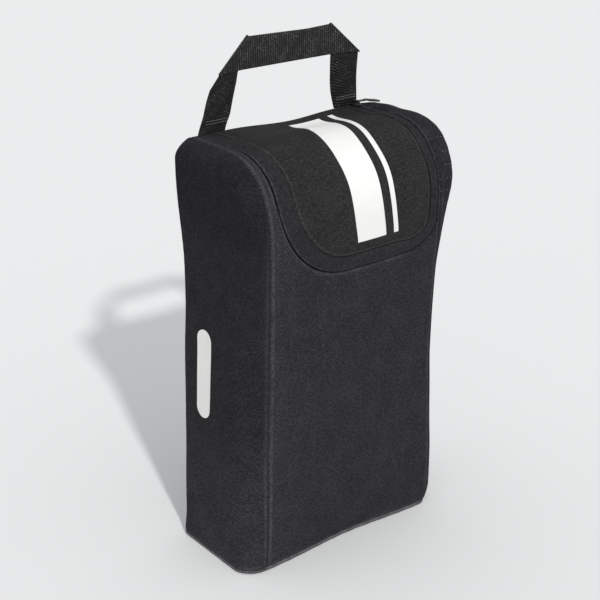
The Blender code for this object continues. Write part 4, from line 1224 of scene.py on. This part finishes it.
t = np.linspace(0, 1, 61)
yy = Y_FRONT_LOW + 0.0068 + (Y_BACK - Y_FRONT_LOW - 0.0136) * (1 - np.cos(math.pi * t)) / 2
loop = np.vstack([np.column_stack([np.full(61, 0.0775), yy]), np.column_stack([np.full(61, -0.0775), yy[::-1]])])
d = np.concatenate([[0], np.cumsum(np.linalg.norm(np.diff(np.vstack([loop, loop[:1]]), axis=0), axis=1))])
tt = np.linspace(0, d[-1], 260, endpoint=False)
q = np.vstack([loop, loop[:1]])
loop = np.column_stack([np.interp(tt, d, q[:, 0]), np.interp(tt, d, q[:, 1])])
for _ in range(6):
    loop = (np.roll(loop, 1, 0) + loop + np.roll(loop, -1, 0)) / 3
tan = np.roll(loop, -1, 0) - np.roll(loop, 1, 0)
tan /= np.linalg.norm(tan, axis=1)[:, None]
nrm2 = np.column_stack([tan[:, 1], -tan[:, 0]])
m = 16
rings = np.empty((len(loop), m, 3))
flats = np.empty((len(loop), m, 3))
for k in range(m):
    a = 2 * math.pi * k / m
    u, v = 0.0022 * np.sign(math.cos(a)) * abs(math.cos(a)) ** 0.6, 0.0006 * np.sign(math.sin(a)) * abs(math.sin(a)) ** 0.8
    rings[:, k, :2] = loop + nrm2 * u
    rings[:, k, 2] = 0.0031 + v * (1 + 0.1 * np.sin(tt / 0.0016))
    flats[:, k] = np.column_stack([np.full(len(loop), u), tt, np.full(len(loop), 0.27)])
n_loop = len(loop)
faces = []
for i in range(n_loop):
    for k in range(m):
        i2, k2 = (i + 1) % n_loop, (k + 1) % m
        faces.append((i * m + k, i * m + k2, i2 * m + k2, i2 * m + k))
bb = new_mesh("bottom_binding_tape", drape(rings.reshape(-1, 3)), faces, [M_BIND], flats.reshape(-1, 3))
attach(bb, "bag")
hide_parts("bottom_binding")

y, z = np.meshgrid(np.linspace(0.0212, 0.0495, 30), np.linspace(0.2000, 0.2400, 40))
lx = -0.0796 + 0.0011 * smooth((0.0495 - y) / 0.028) * np.sin((z - 0.2) / 0.04 * math.pi) + 0.0006 * np.sin((0.0495 - y) / 0.028 * 2.4)
label = shell("care_label_sheet", np.stack([lx - 0.00015, y, z], axis=-1), np.stack([lx + 0.00015, y, z], axis=-1), [M_LABEL], np.stack([y, z], axis=-1), None, 0.29)
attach(label, "bag")
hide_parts("care_label")

# ---- handle: one webbing strap, folded at 45 degrees at both upper corners --------------------------------------------------


def spline(points, count):
    """An even, slightly rounded polyline through the points."""
    p = np.array(points, float)
    d = np.concatenate([[0], np.cumsum(np.linalg.norm(np.diff(p, axis=0), axis=1))])
    t = np.linspace(0, d[-1], 400)
    q = np.column_stack([np.interp(t, d, p[:, i]) for i in range(p.shape[1])])
    for _ in range(60):
        q[1:-1] = (q[:-2] + q[1:-1] + q[2:]) / 3
    d = np.concatenate([[0], np.cumsum(np.linalg.norm(np.diff(q, axis=0), axis=1))])
    t = np.linspace(0, d[-1], count)
    return np.column_stack([np.interp(t, d, q[:, i]) for i in range(p.shape[1])]), d[-1]


RIB = 0.00215
WEB = 0.00060


def strap_part(name, edge_a, edge_b, y_of, ribs_of=None, cols=26, rows=260):
    """A run of webbing between two edges in XZ; y_of(t, c) is its middle surface."""
    a, la = spline(edge_a, rows)
    b, lb = spline(edge_b, rows)
    c = (1 - np.cos(math.pi * np.arange(cols + 1) / cols)) / 2
    t = np.linspace(0, 1, rows)
    P = a[:, None] * (1 - c[None, :, None]) + b[:, None] * c[None, :, None]
    T, C = np.meshgrid(t, c, indexing="ij")
    u = P[..., 0] if ribs_of == "x" else T * (la + lb) / 2
    rib = np.abs(np.cos(math.pi * u / RIB))
    thick = WEB * np.clip(1 - np.abs(2 * C - 1) ** 10, 0.05, 1) + 0.00014 * (rib - 0.5) * smooth(np.minimum(C, 1 - C) / 0.05)
    ym = y_of(T, C)
    v = C * 0.025
    return P, ym, thick, np.stack([v, u], axis=-1), np.clip(1 - np.minimum(C, 1 - C) / 0.05, 0, 1)


parts = []
L_OUT = [(-0.0772, 0.3428), (-0.0752, 0.3490), (-0.0718, 0.3570), (-0.0682, 0.3680), (-0.0645, 0.3765), (-0.0552, 0.3868)]
L_IN = [(-0.0516, 0.3428), (-0.0500, 0.3475), (-0.0462, 0.3550), (-0.0425, 0.3680), (-0.0390, 0.3790), (-0.0368, 0.3890), (-0.0325, 0.3990), (-0.0280, 0.4140)]
R_IN = [(0.0582, 0.3428), (0.0560, 0.3500), (0.0542, 0.3580), (0.0537, 0.3650), (0.0541, 0.3780), (0.0546, 0.3900), (0.0545, 0.4000), (0.0543, 0.4137)]
R_OUT = [(0.0829, 0.3428), (0.0828, 0.3500), (0.0830, 0.3600), (0.0836, 0.3740), (0.0845, 0.3870)]
G_LOW = [(-0.0552, 0.3868), (-0.0373, 0.3886), (0.0000, 0.3888), (0.0546, 0.3888), (0.0845, 0.3872)]
G_TOP = [(-0.0280, 0.4140), (0.0050, 0.4135), (0.0280, 0.4130), (0.0543, 0.4137)]


def leg_y(T, C, bend):
    lift = smooth((T - 0.12) / 0.5)
    return STRAP_Y + 0.0009 * lift + bend * np.sin(math.pi * C) * np.exp(-((T - 0.15) / 0.22) ** 2) + 0.0008 * np.sin(math.pi * T) * (C - 0.5)


def grip_y(T, C):
    return STRAP_Y - 0.0009 - 0.0007 * np.sin(math.pi * T) + 0.0005 * np.sin(math.pi * T * 2 + 0.6) * (C - 0.5)


for name, ea, eb, fy, mode, rows in (
    ("leg_left", L_OUT, L_IN, lambda T, C: leg_y(T, C, -0.0010), None, 200),
    ("leg_right", R_IN, R_OUT, lambda T, C: leg_y(T, C, -0.0014), None, 220),
    ("grip", G_LOW, G_TOP, grip_y, "x", 420),
):
    parts.append((name, *strap_part(name, ea, eb, fy, mode, rows=rows)))

verts, faces, flats, wear_and_highlight_all = [], [], [], []
base = 0
for name, P, ym, thick, fl, wear_and_highlight in parts:
    R_, C_ = ym.shape
    for sgn in (-1, 1):
        q = np.stack([P[..., 0], ym + sgn * thick, P[..., 1]], axis=-1).reshape(-1, 3)
        verts.append(q)
        f = np.concatenate([fl, np.full(fl.shape[:2] + (1,), 0.31 + 0.01 * sgn)], axis=-1).reshape(-1, 3)
        flats.append(f)
        wear_and_highlight_all.append(wear_and_highlight.reshape(-1))
    half = R_ * C_
    faces += grid_faces(R_, C_, base)
    faces += [f[::-1] for f in grid_faces(R_, C_, base + half)]
    ids = list(range(C_)) + [r * C_ + C_ - 1 for r in range(1, R_)] + [(R_ - 1) * C_ + c for c in range(C_ - 2, -1, -1)] + [r * C_ for r in range(R_ - 2, 0, -1)]
    faces += [(base + b, base + a, base + half + a, base + half + b) for a, b in zip(ids, ids[1:] + ids[:1])]
    base += 2 * half
# the rounded folds along the two diagonals
for (x0, z0), (x1, z1), soft in (((-0.0552, 0.3868), (-0.0280, 0.4140), 1.5), ((0.0845, 0.3870), (0.0543, 0.4137), 1.0)):
    n_a, n_t = 40, 14
    f = np.linspace(0, 1, n_a)
    line = np.column_stack([x0 + (x1 - x0) * f, z0 + (z1 - z0) * f])
    d = np.array([x1 - x0, z1 - z0])
    d /= np.linalg.norm(d)
    o = np.array([-d[1], d[0]])
    if (o[0] > 0) != (x0 > 0):
        o = -o
    grid_o, grid_i = [], []
    for a in np.linspace(-math.pi / 2, math.pi / 2, n_t):
        for r, store in ((0.00150, grid_o), (0.00035, grid_i)):
            c = line + o[None] * (r * math.cos(a) * (soft if r > 0.001 else 1.0) - 0.0007)
            store.append(np.column_stack([c[:, 0], np.full(n_a, STRAP_Y) + r * math.sin(a), c[:, 1]]))
    go, gi = np.array(grid_o), np.array(grid_i)
    half = n_a * n_t
    verts += [go.reshape(-1, 3), gi.reshape(-1, 3)]
    for _ in range(2):
        tt2, aa2 = np.meshgrid(np.arange(n_t) * 0.0004, f * 0.036)
        flats.append(np.stack([aa2.T, tt2.T, aa2.T * 0 + 0.35], axis=-1).reshape(-1, 3))
        wear_and_highlight_all.append(np.ones(half) * 0.8)
    faces += grid_faces(n_t, n_a, base)
    faces += [f2[::-1] for f2 in grid_faces(n_t, n_a, base + half)]
    ids = list(range(n_a)) + [r * n_a + n_a - 1 for r in range(1, n_t)] + [(n_t - 1) * n_a + c for c in range(n_a - 2, -1, -1)] + [r * n_a for r in range(n_t - 2, 0, -1)]
    faces += [(base + b, base + a, base + half + a, base + half + b) for a, b in zip(ids, ids[1:] + ids[:1])]
    base += 2 * half
handle = new_mesh("handle_strap", np.vstack(verts), faces, [M_WEB], np.vstack(flats), np.concatenate(wear_and_highlight_all), None, 50)
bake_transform(handle)
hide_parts("handle_webbing", "handle_base_left", "handle_base_right")
# painted shade: the legs below the grip are made darker, as in the shadow under the folded strap
set_painted_shading(handle, lambda x, y, z: 1 - (1 - smooth((z - 0.3835) / 0.006)) * np.where(x > 0, 0.58, 0.46))

# bar tacks across the legs, just above the seam
starts, ends, ups = [], [], []
for x0, x1, zrow, lean in ((-0.0705, -0.0505, 0.3508, 0.0), (-0.0697, -0.0497, 0.3530, 0.0), (0.0590, 0.0800, 0.3502, 0.0), (0.0590, 0.0800, 0.3522, 0.0)):
    n = 9
    for i in range(n):
        a = x0 + (x1 - x0) * i / n
        b = a + (x1 - x0) / n * 0.62
        starts.append((a, STRAP_Y - 0.0020, zrow))
        ends.append((b, STRAP_Y - 0.0020, zrow + lean))
        ups.append((0, -1, 0))
tack = stitch_row("handle_stitches", starts, ends, ups, 0.00020, M_THREAD_GREY)
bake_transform(tack)

# ---- hard zip parts stay CAD nodes with their own finish ---------------------------------------------------------------------

for node, mat in (("zip_slider", M_METAL), ("zip_pull_link", M_METAL), ("zip_stop", M_METAL), ("zip_pull_tab", M_RUBBER)):
    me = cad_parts[node].data
    me.materials.clear()
    me.materials.append(mat)

# ---- floor, light and camera ---------------------------------------------------------------------------------------------------

BACKDROP = 0.8470
n = Nodes("studio_floor")
co = n.t.nodes.new("ShaderNodeTexCoord").outputs["Object"]
soft = n.noise(co, 0.6, 2.0)
value = n.remap(soft, 0.3, 0.7, 0.647, 0.653)
floor_mat = n.finish(n.join(n.math("MULTIPLY", value, 0.994), value, n.math("MULTIPLY", value, 1.006)), n.remap(soft, 0.3, 0.7, 0.94, 1.0), specular=0.0)
me = bpy.data.meshes.new("floor")
me.from_pydata([(-9, -9, -0.0002), (9, -9, -0.0002), (9, 9, -0.0002), (-9, 9, -0.0002)], [], [(0, 1, 2, 3)])
me.materials.append(floor_mat)
floor = bpy.data.objects.new("floor", me)
bpy.context.scene.collection.objects.link(floor)
floor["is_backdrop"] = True

world = bpy.data.worlds.new("studio")
bpy.context.scene.world = world
world.use_nodes = True
world.node_tree.nodes["Background"].inputs[0].default_value = (0.840, 0.847, 0.856, 1)
world.node_tree.nodes["Background"].inputs[1].default_value = 1.0

sun = bpy.data.lights.new("key", "SUN")
sun.energy = 2.30
sun.angle = math.radians(3.0)
sun.color = (1.0, 0.995, 0.985)
key = bpy.data.objects.new("key", sun)
to_light = Vector((-0.30 * math.cos(math.radians(38)), -0.954 * math.cos(math.radians(38)), math.sin(math.radians(38))))
key.rotation_mode = "QUATERNION"
key.rotation_quaternion = to_light.to_track_quat("Z", "Y")
bpy.context.scene.collection.objects.link(key)
key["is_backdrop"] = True

cam_data = bpy.data.cameras.new("camera")
cam = bpy.data.objects.new("camera", cam_data)
bpy.context.scene.collection.objects.link(cam)
AZ, EL, DIST = math.radians(-37.93), math.radians(22.53), 1.13088
TARGET = Vector((-0.00935, 0.01149, 0.20194))
away = Vector((math.sin(AZ) * math.cos(EL), -math.cos(AZ) * math.cos(EL), math.sin(EL)))
cam.location = TARGET + away * DIST
cam.rotation_mode = "QUATERNION"
cam.rotation_quaternion = (-away).to_track_quat("-Z", "Y")
cam_data.sensor_width = 36
cam_data.lens = 1384.39 / 600 * 36
cam_data.clip_start, cam_data.clip_end = 0.05, 60
bpy.context.scene.camera = cam
bpy.context.scene.view_settings.view_transform = "Standard"
bpy.context.scene.view_settings.look = "None"

low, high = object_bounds()
